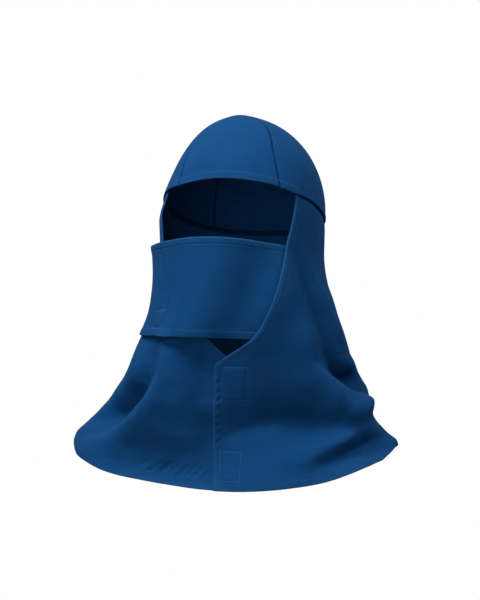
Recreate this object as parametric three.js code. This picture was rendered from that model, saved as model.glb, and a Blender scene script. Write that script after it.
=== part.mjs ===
// Protective work hood of blue cotton twill: a skull cap of four gores, a shoulder cape sewn round the cap
// and lapped down the front, and a mask panel across the lower face. Hook-and-loop tabs hold the lap and
// the free end of the mask. Millimetres, +Z up, the face towards -Y and the wearer's left towards +X.
// The origin is the inside of the cap's top, where the hood rests on the head.
// A "turn" is the angle round the head in degrees: 0 at the face, 90 at the wearer's left, 180 at the nape.
// A "drop" is how far a point lies below the top of the cap.

import * as THREE from "three";

// Cloth and clearances
const CLOTH = 1.2; // one layer of twill
const HEM = { width: 8, thickness: 2 }; // a turned and stitched edge
const GAP = 0.35; // clearance between neighbouring pieces
const LOOSE = 1; // clearance where pieces lie along folded cloth
const TAB = 1.2; // thickness of a closed hook-and-loop tab
const LAP = { rise: HEM.thickness + TAB + 2 * GAP, full: 15, gone: 45 }; // layer to layer; its fade by turn
const TUCK = CLOTH / 2 + HEM.thickness / 2 + LOOSE; // from the mask to the cape's edge that lies over it

// The cap is half an ellipsoid, cut for a head of 58 cm round. It comes to a low peak where the gores meet.
const CAP = { halfWidth: 84, front: 100, back: 104, height: 100 };
const TIP = { polar: 0.8, shift: -4, peak: 1.5, spread: 9 };
const BACK_SEAM = 138; // turn of the two seams at the back of the cap
const GORE_STEPS = { across: 12, down: 8, hemRow: 0.067, ease: 0.012 };

// Reach of the cap to the wearer's right, as a share of the ellipsoid's, by the angle from its top.
const CAP_SLIM = [
  { polar: 0, right: 0.96 },
  { polar: 40, right: 0.91 },
  { polar: 62, right: 0.92 },
  { polar: 78, right: 0.97 },
  { polar: 90, right: 1 },
];

// Turns of the two front seams from the middle of the face, by the share of the way from the cap's top
// to its rim. The front gore sits turned a little to the wearer's left.
const FRONT_SEAM = [
  { share: 0, left: 60, right: 52 },
  { share: 0.3, left: 57.5, right: 57.5 },
  { share: 0.47, left: 51.5, right: 56 },
  { share: 0.65, left: 46.5, right: 47.5 },
  { share: 0.8, left: 45, right: 41.5 },
  { share: 1, left: 45, right: 37 },
];

// Drops of the cap's rim and of the cape's hem, by turn. The sides of the hem lie up on the shoulders.
const RIMS = [
  { turn: -180, rim: 126, hem: 368 },
  { turn: -140, rim: 121, hem: 357 },
  { turn: -98, rim: 104, hem: 338 },
  { turn: -63, rim: 79, hem: 358 },
  { turn: -38, rim: 71.5, hem: 373 },
  { turn: 0, rim: 64, hem: 382 },
  { turn: 35, rim: 69, hem: 374 },
  { turn: 61, rim: 81, hem: 358 },
  { turn: 75, rim: 88, hem: 352 },
  { turn: 98, rim: 103, hem: 342 },
  { turn: 140, rim: 121, hem: 357 },
  { turn: 180, rim: 126, hem: 368 },
];

// Reach of the cape from the head's upright axis, and the turns of its two front edges, by level from the
// cap's rim (0) to the hem (1). The left edge laps over the right one below the throat.
const CAPE = [
  { level: 0, left: 84, right: 87, front: 100, back: 104, leftEdge: 59.7, rightEdge: -62 },
  { level: 0.1, left: 83, right: 86.5, front: 98, back: 104, leftEdge: 55, rightEdge: -57 },
  { level: 0.19, left: 83, right: 86, front: 97, back: 104, leftEdge: 49, rightEdge: -55 },
  { level: 0.29, left: 87, right: 88, front: 97, back: 104, leftEdge: 41.5, rightEdge: -48 },
  { level: 0.36, left: 93, right: 91, front: 96, back: 105, leftEdge: 35.5, rightEdge: -39 },
  { level: 0.44, left: 99, right: 96, front: 95, back: 107, leftEdge: 28, rightEdge: -24 },
  { level: 0.51, left: 105, right: 104, front: 93, back: 110, leftEdge: 19, rightEdge: -7 },
  { level: 0.58, left: 110, right: 113, front: 89, back: 113, leftEdge: 1, rightEdge: 6 },
  { level: 0.605, left: 112, right: 116, front: 87.5, back: 114, leftEdge: -2.2, rightEdge: 14 },
  { level: 0.72, left: 131.5, right: 130, front: 79, back: 121, leftEdge: -3.4, rightEdge: 12 },
  { level: 0.8, left: 140, right: 146, front: 70, back: 126, leftEdge: -4.2, rightEdge: 10 },
  { level: 0.87, left: 134, right: 160, front: 69, back: 130, leftEdge: -4.2, rightEdge: 9 },
  { level: 0.94, left: 149, right: 176, front: 75, back: 134, leftEdge: -3.6, rightEdge: 8.5 },
  { level: 0.975, left: 160, right: 184, front: 79, back: 136, leftEdge: -3, rightEdge: 8.2 },
  { level: 1, left: 163, right: 187, front: 81.5, back: 137, leftEdge: -2.6, rightEdge: 8 },
];
const SEWN = { free: 0.1, inset: 0.8 }; // level at which the cape has left the cap's rim, and its inset there

// Folds of the cape. Each follows a path of turns and levels that runs towards the wearer's left, with the rise
// of the cloth there: over 0 a ridge, under 0 a hollow. The cloth falls back over one width in mm above the
// path and another under it, the more sharply the higher the power.
const FOLDS = {
  chestRidgeLeft: {
    turns: [45, 49, 51, 54, 57, 64],
    levels: [0.3, 0.44, 0.545, 0.66, 0.765, 0.86],
    rises: [3, 6, 9, 11, 13, 10],
    over: 12,
    under: 26,
    power: 1.4,
  },
  hollowBehindTheChestRidge: {
    turns: [58, 62, 66, 70, 74],
    levels: [0.235, 0.35, 0.46, 0.56, 0.63],
    rises: [-3, -6, -8, -8, -4],
    over: 15,
    under: 10,
    power: 1.5,
  },
  shoulderRidgeLeft: {
    turns: [61, 69, 75, 82, 90],
    levels: [0.21, 0.29, 0.385, 0.48, 0.56],
    rises: [1, 3, 5, 4, 1],
    over: 12,
    under: 14,
    power: 1.8,
  },
  dentOverTheLeftShoulder: {
    turns: [60, 66, 73, 80, 88, 96, 103, 109, 114],
    levels: [0.64, 0.67, 0.715, 0.755, 0.77, 0.775, 0.78, 0.785, 0.79],
    rises: [-3, -9, -16, -22, -26, -25, -17, -7, -1],
    over: 23,
    under: 7,
    power: 2.3,
  },
  rollUnderTheDent: {
    turns: [56, 62, 70, 80, 97],
    levels: [0.775, 0.8, 0.82, 0.835, 0.845],
    rises: [4, 7, 9, 8, 3],
    over: 17,
    under: 8,
    power: 2,
  },
  chestHollow: {
    turns: [1, 11, 23, 40, 55, 63],
    levels: [0.825, 0.79, 0.778, 0.808, 0.846, 0.864],
    rises: [-6, -14, -17, -20, -18, -12],
    over: 26,
    under: 13,
    power: 1.3,
  },
  flareRidgeLeft: {
    turns: [24, 30, 36, 43, 50, 58, 65, 72],
    levels: [0.945, 0.932, 0.917, 0.902, 0.893, 0.884, 0.878, 0.876],
    rises: [1, 3, 5, 8, 10, 11, 9, 5],
    over: 16,
    under: 11,
    power: 1.5,
  },
  flareHollowLeft: {
    turns: [30, 36, 42, 50, 58, 68, 80, 90],
    levels: [0.973, 0.968, 0.96, 0.954, 0.951, 0.953, 0.956, 0.962],
    rises: [-2, -4, -7, -10, -12, -13, -11, -5],
    over: 12,
    under: 12,
    power: 1.6,
  },
  hemLobeLeft: {
    turns: [76, 88, 97],
    levels: [0.879, 0.92, 0.94],
    rises: [5, 5, 2],
    over: 10,
    under: 9,
    power: 1.5,
  },
  chestRidgeRight: {
    turns: [-62, -56, -51, -44, -38, -33, -30, -30, -32],
    levels: [0.945, 0.917, 0.884, 0.837, 0.78, 0.71, 0.64, 0.58, 0.521],
    rises: [6, 9, 11, 13, 13, 12, 10, 8, 5],
    over: 10,
    under: 24,
    power: 1.5,
  },
  bandHollowRight: {
    turns: [-92, -86, -80, -73, -64, -58, -54, -50, -46, -43, -43, -44],
    levels: [0.9, 0.9, 0.893, 0.885, 0.86, 0.83, 0.79, 0.74, 0.695, 0.65, 0.6, 0.545],
    rises: [-2, -11, -19, -24, -26, -25, -22, -18, -14, -10, -7, -3],
    over: 22,
    under: 9,
    power: 1.6,
  },
  shoulderRollRight: {
    turns: [-76, -66, -57, -49],
    levels: [0.69, 0.695, 0.69, 0.675],
    rises: [0, 4, 6, 4],
    over: 24,
    under: 12,
    power: 2,
  },
  chestSwellRight: {
    turns: [-30, -17, -6],
    levels: [0.815, 0.82, 0.825],
    rises: [9, 11, 6],
    over: 45,
    under: 20,
    power: 2,
  },
  flareHollowRight: {
    turns: [-47, -38, -29, -18, -7],
    levels: [0.955, 0.967, 0.971, 0.969, 0.957],
    rises: [-4, -8, -11, -12, -8],
    over: 30,
    under: 7,
    power: 1.6,
  },
  throatRidge: {
    turns: [-27, -21, -17],
    levels: [0.525, 0.6, 0.68],
    rises: [5, 6, 3],
    over: 8,
    under: 14,
    power: 1.4,
  },
  throatHollow: {
    turns: [-22, -16, -10, -7],
    levels: [0.528, 0.567, 0.621, 0.686],
    rises: [-6, -8, -7, -4],
    over: 9,
    under: 8,
    power: 1.4,
  },
  faceEdge: {
    turns: [19, 27, 38, 46, 51],
    levels: [0.5, 0.44, 0.36, 0.29, 0.2],
    rises: [4, 5, 5, 4, 2],
    over: 20,
    under: 20,
    power: 2,
  },
  backFluteFarLeft: {
    turns: [128, 126, 124],
    levels: [0.5, 0.75, 1],
    rises: [0, 5, 8],
    over: 18,
    under: 18,
    power: 1.8,
  },
  backHollowLeft: {
    turns: [144, 143, 142],
    levels: [0.55, 0.78, 1],
    rises: [0, -4, -8],
    over: 16,
    under: 16,
    power: 1.8,
  },
  backFluteLeft: {
    turns: [161, 163, 165],
    levels: [0.45, 0.72, 1],
    rises: [0, 6, 10],
    over: 18,
    under: 18,
    power: 1.8,
  },
  backHollowMiddle: {
    turns: [181, 182, 184],
    levels: [0.5, 0.76, 1],
    rises: [0, -5, -8],
    over: 18,
    under: 18,
    power: 1.8,
  },
  backFluteRight: {
    turns: [199, 202, 206],
    levels: [0.55, 0.8, 1],
    rises: [0, 5, 9],
    over: 18,
    under: 18,
    power: 1.8,
  },
  backHollowRight: {
    turns: [217, 221, 226],
    levels: [0.5, 0.78, 1],
    rises: [0, -5, -8],
    over: 18,
    under: 18,
    power: 1.8,
  },
  backFluteFarRight: {
    turns: [236, 241, 246],
    levels: [0.55, 0.8, 1],
    rises: [0, 5, 8],
    over: 20,
    under: 20,
    power: 1.8,
  },
};
const FOLD_SCALE = { turn: 1.9, level: 270 }; // mm of cloth to a degree of turn, and to the whole drop
const FOLD_SOFT = 1.5; // radius of a fold's crest in mm
const FOLD_BLEND = { share: 0.2, least: 0.5 }; // how much further away, in mm, a stretch still counts

// Steps of the cape's mesh. Its outermost columns and lowest row are the hems, set off by a narrow step.
// Its rows lie closer together round the throat, where the front edges cross.
const CAPE_STEPS = { across: 57, hemColumn: 0.02, hemRow: 0.03, ease: 0.004, crowd: 0.58 };
const CAPE_ROWS = [
  { from: 0, to: 0.47, steps: 9 },
  { from: 0.495, to: 0.62, steps: 6 },
  { from: 0.65, to: 1 - CAPE_STEPS.hemRow - CAPE_STEPS.ease, steps: 12 },
];

// The mask by turn: how far its top, middle and bottom stand off the cape's form, and the drops of its edges.
// It comes out from under the cape on the wearer's left, spans nose and chin, and lies over the cape on the
// wearer's right.
const MASK = [
  { turn: -94, topOff: 6, midOff: 4.5, bottomOff: 3.5, top: 140, bottom: 229 },
  { turn: -76, topOff: 9.5, midOff: 4.2, bottomOff: 2.4, top: 136, bottom: 228 },
  { turn: -60, topOff: 7, midOff: 4.5, bottomOff: 4.8, top: 133, bottom: 227 },
  { turn: -34, topOff: 8.5, midOff: 5, bottomOff: 7.5, top: 128, bottom: 225 },
  { turn: -14, topOff: 10.5, midOff: 11, bottomOff: 17, top: 124, bottom: 224 },
  { turn: 8, topOff: 9.5, midOff: 12.5, bottomOff: 19, top: 124, bottom: 225 },
  { turn: 35, topOff: 5, midOff: 6, bottomOff: 9, top: 130, bottom: 228 },
  { turn: 58, topOff: 3, midOff: 3, bottomOff: 3, top: 135, bottom: 230 },
];
const MASK_BARE = { from: -22, to: -8 }; // turns over which the mask leaves the cape's folds behind
const MASK_TUCK = { from: 44, to: 2 }; // degrees before the cape's left edge where the mask dips under it
const MASK_END = { deeper: 3, over: 30 }; // how far its hidden end leaves the cape, and over how many degrees
const MASK_STEPS = { across: 32, down: 6, hemRow: 0.08, ease: 0.012 };

// Hook-and-loop tabs: turns and drops of their edges. The first two lie in the lap, the last under the mask.
const TABS = [
  { name: "closure_tab_upper", right: -0.8, left: 10.5, top: 262, bottom: 297, off: 0 },
  { name: "closure_tab_lower", right: -1, left: 6.5, top: 344, bottom: 372, off: 0 },
  { name: "mask_tab", right: -56, left: -34, top: 200, bottom: 223, off: CLOTH / 2 + LOOSE + TAB / 2 },
];
const TAB_STEPS = 4;

const { clamp, degToRad, lerp, radToDeg, smoothstep } = THREE.MathUtils;

// Value of one column of a table at a place along its first column, on a smooth curve through the rows.
function sample(table, column, at) {
  const key = Object.keys(table[0])[0];
  const last = table.length - 1;
  const place = clamp(at, table[0][key], table[last][key]);
  const upper = clamp(table.findIndex((row) => place <= row[key]), 1, last);
  const row = (n) => table[clamp(n, 0, last)];
  const slope = (n) => (row(n + 1)[column] - row(n - 1)[column]) / (row(n + 1)[key] - row(n - 1)[key]);
  const span = row(upper)[key] - row(upper - 1)[key];
  const t = (place - row(upper - 1)[key]) / span;
  const eased = lerp(row(upper - 1)[column], row(upper)[column], smoothstep(t, 0, 1));
  return eased + t * (1 - t) * span * ((1 - t) * slope(upper - 1) - t * slope(upper));
}

// Evenly spaced stops from one value to another.
function stops(from, to, count) {
  return Array.from({ length: count + 1 }, (_, i) => lerp(from, to, i / count));
}

// A turn brought into the range of the tables, -180 to 180.
function wrapped(turn) {
  return turn - 360 * Math.round(turn / 360);
}

// Closed solid of a cloth surface: two skins set half the thickness either side of it, joined along the rim.
// The surface runs anticlockwise round the head with u and downwards with v. Its quads are cut across their
// shorter diagonal.
function sheetSolid(surface, us, vs, thickness) {
  const outer = [];
  const inner = [];
  const step = 1e-3;
  for (const v of vs) {
    for (const u of us) {
      const at = surface(u, v);
      const alongU = surface(u + step, v).sub(surface(u - step, v));
      const alongV = surface(u, v + step).sub(surface(u, v - step));
      const half = alongV.cross(alongU).setLength(thickness(u, v) / 2);
      outer.push(at.clone().add(half));
      inner.push(at.clone().sub(half));
    }
  }
  const across = us.length;
  const down = vs.length;
  const under = outer.length;
  const index = [];
  const quad = (a, b, c, d) => index.push(a, b, c, a, c, d);
  for (let j = 0; j + 1 < down; j += 1) {
    for (let i = 0; i + 1 < across; i += 1) {
      const a = j * across + i;
      const [b, c, d] = [a + across, a + across + 1, a + 1];
      if (outer[a].distanceTo(outer[c]) < outer[b].distanceTo(outer[d])) {
        quad(a, b, c, d);
        quad(under + a, under + d, under + c, under + b);
      } else {
        quad(b, c, d, a);
        quad(under + b, under + a, under + d, under + c);
      }
    }
  }
  const top = stops(0, across - 1, across - 1);
  const end = stops(across - 1, across * down - 1, down - 1);
  const bottom = stops(across * down - 1, across * (down - 1), across - 1);
  const start = stops(across * (down - 1), 0, down - 1);
  for (const side of [top, end, bottom, start]) {
    for (let i = 0; i + 1 < side.length; i += 1) {
      const [a, b] = [Math.round(side[i]), Math.round(side[i + 1])];
      quad(a, b, under + b, under + a);
    }
  }
  const geometry = new THREE.BufferGeometry().setFromPoints([...outer, ...inner]);
  geometry.setIndex(index);
  geometry.computeVertexNormals();
  return geometry;
}

// Point of the cap at a turn and an angle from its top. Below its widest level the wall hangs straight.
function capPoint(turn, polar) {
  const low = polar > 90;
  const reach = low ? 1 : Math.sin(degToRad(polar));
  const drop = CAP.height * (low ? 1 + degToRad(polar - 90) : 1 - Math.cos(degToRad(polar)));
  const slim = turn < 0 ? sample(CAP_SLIM, "right", polar) : 1;
  const depth = Math.abs(turn) < 90 ? CAP.front : CAP.back;
  const x = CAP.halfWidth * slim * reach * Math.sin(degToRad(turn));
  const y = -depth * reach * Math.cos(degToRad(turn));
  return new THREE.Vector3(x, y, CLOTH / 2 - drop);
}

// Angle from the cap's top at a drop.
function polarAt(drop) {
  const rest = 1 - drop / CAP.height;
  return radToDeg(rest > 0 ? Math.acos(rest) : Math.PI / 2 - rest);
}

// Point of a gore between two seams, each a turn by the share of the way from the top to the rim.
function gorePoint(seamA, seamB, u, v) {
  const turn = wrapped(lerp(seamA(v), seamB(v), u));
  const polar = lerp(TIP.polar, polarAt(sample(RIMS, "rim", turn)), v);
  const point = capPoint(turn, polar);
  point.x += TIP.shift * (1 - v) ** 3;
  point.z += TIP.peak * Math.exp(-((polar / TIP.spread) ** 2));
  return point;
}

// A seam moved half a gap to one side.
function seamSide(seam, side) {
  return (v) => {
    const reach = CAP.halfWidth * Math.sin(degToRad(lerp(TIP.polar, 90, v)));
    return seam(v) + (side * radToDeg(GAP / 2)) / reach;
  };
}

// Rise of one fold at a turn and level. Each stretch of its path is read at its nearest place, and stretches
// that lie nearly as close as the closest one share the rise.
function riseOf({ turns, levels, rises, over, under, power }, turn, level) {
  const middle = turns[Math.floor(turns.length / 2)];
  const place = (t, l) => new THREE.Vector2(wrapped(t - middle) * FOLD_SCALE.turn, l * FOLD_SCALE.level);
  const at = place(turn, level);
  const rows = rises.map((rise, row) => ({ row, rise }));
  const stretches = [];
  for (let i = 0; i + 1 < turns.length; i += 1) {
    const start = place(turns[i], levels[i]);
    const along = place(turns[i + 1], levels[i + 1]).sub(start);
    const from = at.clone().sub(start);
    const share = clamp(from.dot(along) / along.lengthSq(), 0, 1);
    const away = start.addScaledVector(along, share).distanceTo(at);
    const side = away > 0 ? clamp(along.cross(from) / (along.length() * away), -1, 1) : 0;
    stretches.push({ away, side, rise: sample(rows, "rise", i + share) });
  }
  const nearest = Math.min(...stretches.map(({ away }) => away));
  const reach = FOLD_BLEND.share * nearest + FOLD_BLEND.least;
  const weights = stretches.map(({ away }) => Math.exp((nearest - away) / reach));
  const total = weights.reduce((sum, weight) => sum + weight, 0);
  const mean = (column) => stretches.reduce((sum, row, i) => sum + row[column] * weights[i], 0) / total;
  const width = lerp(over, under, (mean("side") + 1) / 2);
  const gone = Math.hypot(mean("away"), FOLD_SOFT) - FOLD_SOFT;
  return mean("rise") * Math.exp(-((gone / width) ** power));
}

// Rise of the cape's cloth at a turn and level, summed over the folds.
function foldRise(turn, level) {
  return Object.values(FOLDS).reduce((sum, fold) => sum + riseOf(fold, turn, level), 0);
}

// Reach of the cape to the side and to the front or back, at a turn and level.
function capeReach(turn, level) {
  const width = sample(CAPE, turn > 0 ? "left" : "right", level);
  const depth = sample(CAPE, Math.abs(turn) < 90 ? "front" : "back", level);
  return { width, depth };
}

// Point of the cape's form at a turn and level, moved out from the head by an offset.
function capeForm(anyTurn, level, off) {
  const turn = wrapped(anyTurn);
  const [sin, cos] = [Math.sin(degToRad(turn)), Math.cos(degToRad(turn))];
  const rim = sample(RIMS, "rim", turn);
  const drop = lerp(rim + GAP, sample(RIMS, "hem", turn), level);
  const sewn = capPoint(turn, polarAt(rim));
  const { width, depth } = capeReach(turn, level);
  const free = smoothstep(level, 0, SEWN.free);
  const out = new THREE.Vector2(sin / width, -cos / depth);
  out.setLength(off + lerp(-SEWN.inset, foldRise(turn, level), free));
  const x = lerp(sewn.x, width * sin, free) + out.x;
  const y = lerp(sewn.y, -depth * cos, free) + out.y;
  return new THREE.Vector3(x, y, CLOTH / 2 - drop);
}

// Level of the cape's form at a turn and drop.
function levelAt(turn, drop) {
  const rim = sample(RIMS, "rim", turn) + GAP;
  return (drop - rim) / (sample(RIMS, "hem", turn) - rim);
}

// Degrees of turn that a hem takes up along an edge of the cape.
function hemTurn(edge, level) {
  const { width, depth } = capeReach(wrapped(edge), level);
  const turn = degToRad(edge);
  return radToDeg(HEM.width / Math.hypot(width * Math.cos(turn), depth * Math.sin(turn)));
}

// Point of the cape: u runs from its left front edge round the nape to its right front edge, v to the hem.
function capePoint(u, v) {
  const column = CAPE_STEPS.hemColumn;
  const left = sample(CAPE, "leftEdge", v);
  const right = 360 + sample(CAPE, "rightEdge", v);
  const leftHem = left + hemTurn(left, v);
  const rightHem = right - hemTurn(right, v);
  let turn = lerp(leftHem, rightHem, (u - column) / (1 - 2 * column));
  if (u < column) turn = lerp(left, leftHem, u / column);
  if (u > 1 - column) turn = lerp(right, rightHem, (1 - u) / column);
  const lapped = 1 - smoothstep(Math.min(turn, 360 - turn), LAP.full, LAP.gone);
  const layer = turn < 180 ? LAP.rise / 2 : -LAP.rise / 2;
  return capeForm(turn, v, layer * lapped);
}

// Point of the mask: u runs from its free end on the wearer's right to its tucked end, v from top to bottom.
function maskPoint(u, v) {
  const turn = lerp(MASK[0].turn, MASK[MASK.length - 1].turn, u);
  const level = levelAt(turn, lerp(sample(MASK, "top", turn), sample(MASK, "bottom", turn), v));
  const [top, middle, bottom] = ["topOff", "midOff", "bottomOff"].map((column) => sample(MASK, column, turn));
  const stand = top * (1 - v) * (1 - 2 * v) + 4 * middle * v * (1 - v) + bottom * v * (2 * v - 1);
  const bare = foldRise(turn, level) * smoothstep(turn, MASK_BARE.from, MASK_BARE.to);
  const edge = sample(CAPE, "leftEdge", level);
  const tucked = smoothstep(turn, edge - MASK_TUCK.from, edge - MASK_TUCK.to);
  const deeper = MASK_END.deeper * smoothstep(turn, edge, edge + MASK_END.over);
  return capeForm(turn, level, lerp(stand - bare, -TUCK, tucked) - deeper);
}

// Point of a hook-and-loop tab that lies along the cape's form.
function tabPoint(tab, u, v) {
  const turn = lerp(tab.right, tab.left, u);
  return capeForm(turn, levelAt(turn, lerp(tab.top, tab.bottom, v)), tab.off);
}

const blueCloth = new THREE.MeshStandardMaterial({ color: 0x174a80, roughness: 0.9, metalness: 0 });
const hookLoop = new THREE.MeshStandardMaterial({ color: 0x16406f, roughness: 0.95, metalness: 0 });
blueCloth.name = "blue_cloth";
hookLoop.name = "hook_loop";

const hood = new THREE.Group();
hood.name = "protective_hood";

function addPiece(name, geometry, material) {
  const mesh = new THREE.Mesh(geometry, material);
  mesh.name = name;
  hood.add(mesh);
}

// The four gores. Their rim is hemmed over the face, between the cape's two upper corners.
const frontLeft = (v) => sample(FRONT_SEAM, "left", v);
const frontRight = (v) => -sample(FRONT_SEAM, "right", v);
const backLeft = () => BACK_SEAM;
const backRight = () => 360 - BACK_SEAM;
const GORES = [
  { name: "crown_front_panel", from: frontRight, to: frontLeft },
  { name: "crown_side_panel_left", from: frontLeft, to: backLeft },
  { name: "crown_back_panel", from: backLeft, to: backRight },
  { name: "crown_side_panel_right", from: backRight, to: (v) => 360 + frontRight(v) },
];
const hemTop = 1 - GORE_STEPS.hemRow;
const goreAcross = stops(0, 1, GORE_STEPS.across);
const goreDown = [...stops(0, hemTop - GORE_STEPS.ease, GORE_STEPS.down), hemTop, 1];
for (const gore of GORES) {
  const from = seamSide(gore.from, 1);
  const to = seamSide(gore.to, -1);
  const surface = (u, v) => gorePoint(from, to, u, v);
  const thickness = (u, v) => {
    const turn = wrapped(lerp(from(v), to(v), u));
    const overFace = turn < CAPE[0].leftEdge && turn > CAPE[0].rightEdge;
    return overFace && v >= hemTop ? HEM.thickness : CLOTH;
  };
  addPiece(gore.name, sheetSolid(surface, goreAcross, goreDown, thickness), blueCloth);
}

// The cape, hemmed along its front edges and its bottom, with its columns closer together in front
const { hemColumn, hemRow, ease, crowd } = CAPE_STEPS;
const wave = (s) => (crowd * Math.sin(2 * Math.PI * s)) / (2 * Math.PI);
const between = (s) => lerp(hemColumn + ease, 1 - hemColumn - ease, s - wave(s));
const inside = stops(0, 1, CAPE_STEPS.across).map(between);
const capeAcross = [0, hemColumn, ...inside, 1 - hemColumn, 1];
const capeDown = [...CAPE_ROWS.flatMap(({ from, to, steps }) => stops(from, to, steps)), 1 - hemRow, 1];
const capeThickness = (u, v) => {
  const hemmed = Math.min(u, 1 - u) <= hemColumn || v >= 1 - hemRow;
  return hemmed ? HEM.thickness : CLOTH;
};
addPiece("cape", sheetSolid(capePoint, capeAcross, capeDown, capeThickness), blueCloth);

// The mask, hemmed along its top and bottom
const maskHem = MASK_STEPS.hemRow;
const maskInside = stops(maskHem + MASK_STEPS.ease, 1 - maskHem - MASK_STEPS.ease, MASK_STEPS.down);
const maskDown = [0, maskHem, ...maskInside, 1 - maskHem, 1];
const maskThickness = (u, v) => (Math.min(v, 1 - v) <= maskHem ? HEM.thickness : CLOTH);
const maskAcross = stops(0, 1, MASK_STEPS.across);
addPiece("face_mask", sheetSolid(maskPoint, maskAcross, maskDown, maskThickness), blueCloth);

for (const tab of TABS) {
  const sides = stops(0, 1, TAB_STEPS);
  addPiece(tab.name, sheetSolid((u, v) => tabPoint(tab, u, v), sides, sides, () => TAB), hookLoop);
}

export default hood;
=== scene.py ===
"""Dresses a worn protective hood of blue twill: four-gore cap, lapped cape, face mask and their stitching."""

from __future__ import annotations

import logging
import math
from dataclasses import dataclass, field
from enum import Enum
from typing import Any, Callable, Sequence

import bpy
import numpy as np
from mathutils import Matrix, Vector

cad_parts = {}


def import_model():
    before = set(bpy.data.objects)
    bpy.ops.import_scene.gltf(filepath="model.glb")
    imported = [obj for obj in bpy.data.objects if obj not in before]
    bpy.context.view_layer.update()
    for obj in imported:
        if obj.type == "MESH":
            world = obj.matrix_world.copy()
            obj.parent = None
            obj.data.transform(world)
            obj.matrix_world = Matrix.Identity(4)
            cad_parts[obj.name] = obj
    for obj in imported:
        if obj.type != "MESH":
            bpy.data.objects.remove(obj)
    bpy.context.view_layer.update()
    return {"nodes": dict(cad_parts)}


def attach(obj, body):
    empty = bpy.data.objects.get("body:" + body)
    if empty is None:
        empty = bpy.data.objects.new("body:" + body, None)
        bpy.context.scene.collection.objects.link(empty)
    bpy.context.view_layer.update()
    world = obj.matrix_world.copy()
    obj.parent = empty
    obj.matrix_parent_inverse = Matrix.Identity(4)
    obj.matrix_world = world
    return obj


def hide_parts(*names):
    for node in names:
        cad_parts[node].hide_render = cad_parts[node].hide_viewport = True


LOG = logging.getLogger("protective_hood")
MM = 0.001
BODY = "root"
STITCH_LIFT_MM = 0.05
Array = np.ndarray
Point = tuple[float, float, float]
Colour = tuple[float, float, float, float]
Surface = Callable[[Array, Array], Array]
Offset = Callable[[Array, Array], Array]


class Slot(Enum):
    """Material slots of the record."""

    BLUE_CLOTH = "blue_cloth"
    HOOK_LOOP = "hook_loop"


class Gore(Enum):
    """Panels of the cap, by the frame's node that each stands for."""

    FRONT = "crown_front_panel"
    LEFT = "crown_side_panel_left"
    BACK = "crown_back_panel"
    RIGHT = "crown_side_panel_right"


class Hold(Enum):
    """How a cut piece of cloth is held."""

    DRAPED = "draped"
    STRETCHED = "stretched"


def smooth(value: Array | float, low: float, high: float) -> Array:
    """Ease from 0 at one value to 1 at another.

    Args:
        value: Where the ease is read.
        low: Value with a result of 0.
        high: Value with a result of 1; it may lie under the low one.

    Returns:
        The eased share.
    """
    share = np.clip((np.asarray(value, float) - low) / (high - low), 0.0, 1.0)
    return share * share * (3 - 2 * share)


def mix(start: Array | float, end: Array | float, share: Array | float) -> Array:
    """Blend two values by a share."""
    return start + (end - start) * share


def wrapped(turn: Array) -> Array:
    """Bring a turn into the range from -180 to 180 degrees."""
    return turn - 360 * np.round(turn / 360)


class Table:
    """Rows of sizes under named columns, read along a smooth curve through the rows."""

    def __init__(self, columns: str, *rows: Sequence[float]) -> None:
        """Keep the rows by column.

        Args:
            columns: Names of the columns; places are given along the first one.
            rows: The rows of numbers, in order of the first column.
        """
        names = columns.split()
        self._values = {name: np.array([row[i] for row in rows], float) for i, name in enumerate(names)}
        self._key = self._values[names[0]]

    def at(self, column: str, place: Array | float) -> Array:
        """Read a column.

        Args:
            column: Name of the column.
            place: Places along the first column.

        Returns:
            The column's values at those places.
        """
        key, value = self._key, self._values[column]
        last = len(key) - 1
        place = np.clip(place, key[0], key[last])
        upper = np.clip(np.searchsorted(key, place), 1, last)
        lower = upper - 1
        after = np.minimum(np.arange(last + 1) + 1, last)
        before = np.maximum(np.arange(last + 1) - 1, 0)
        slope = (value[after] - value[before]) / (key[after] - key[before])
        span = key[upper] - key[lower]
        share = (place - key[lower]) / span
        eased = mix(value[lower], value[upper], share * share * (3 - 2 * share))
        return eased + share * (1 - share) * span * ((1 - share) * slope[lower] - share * slope[upper])


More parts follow.
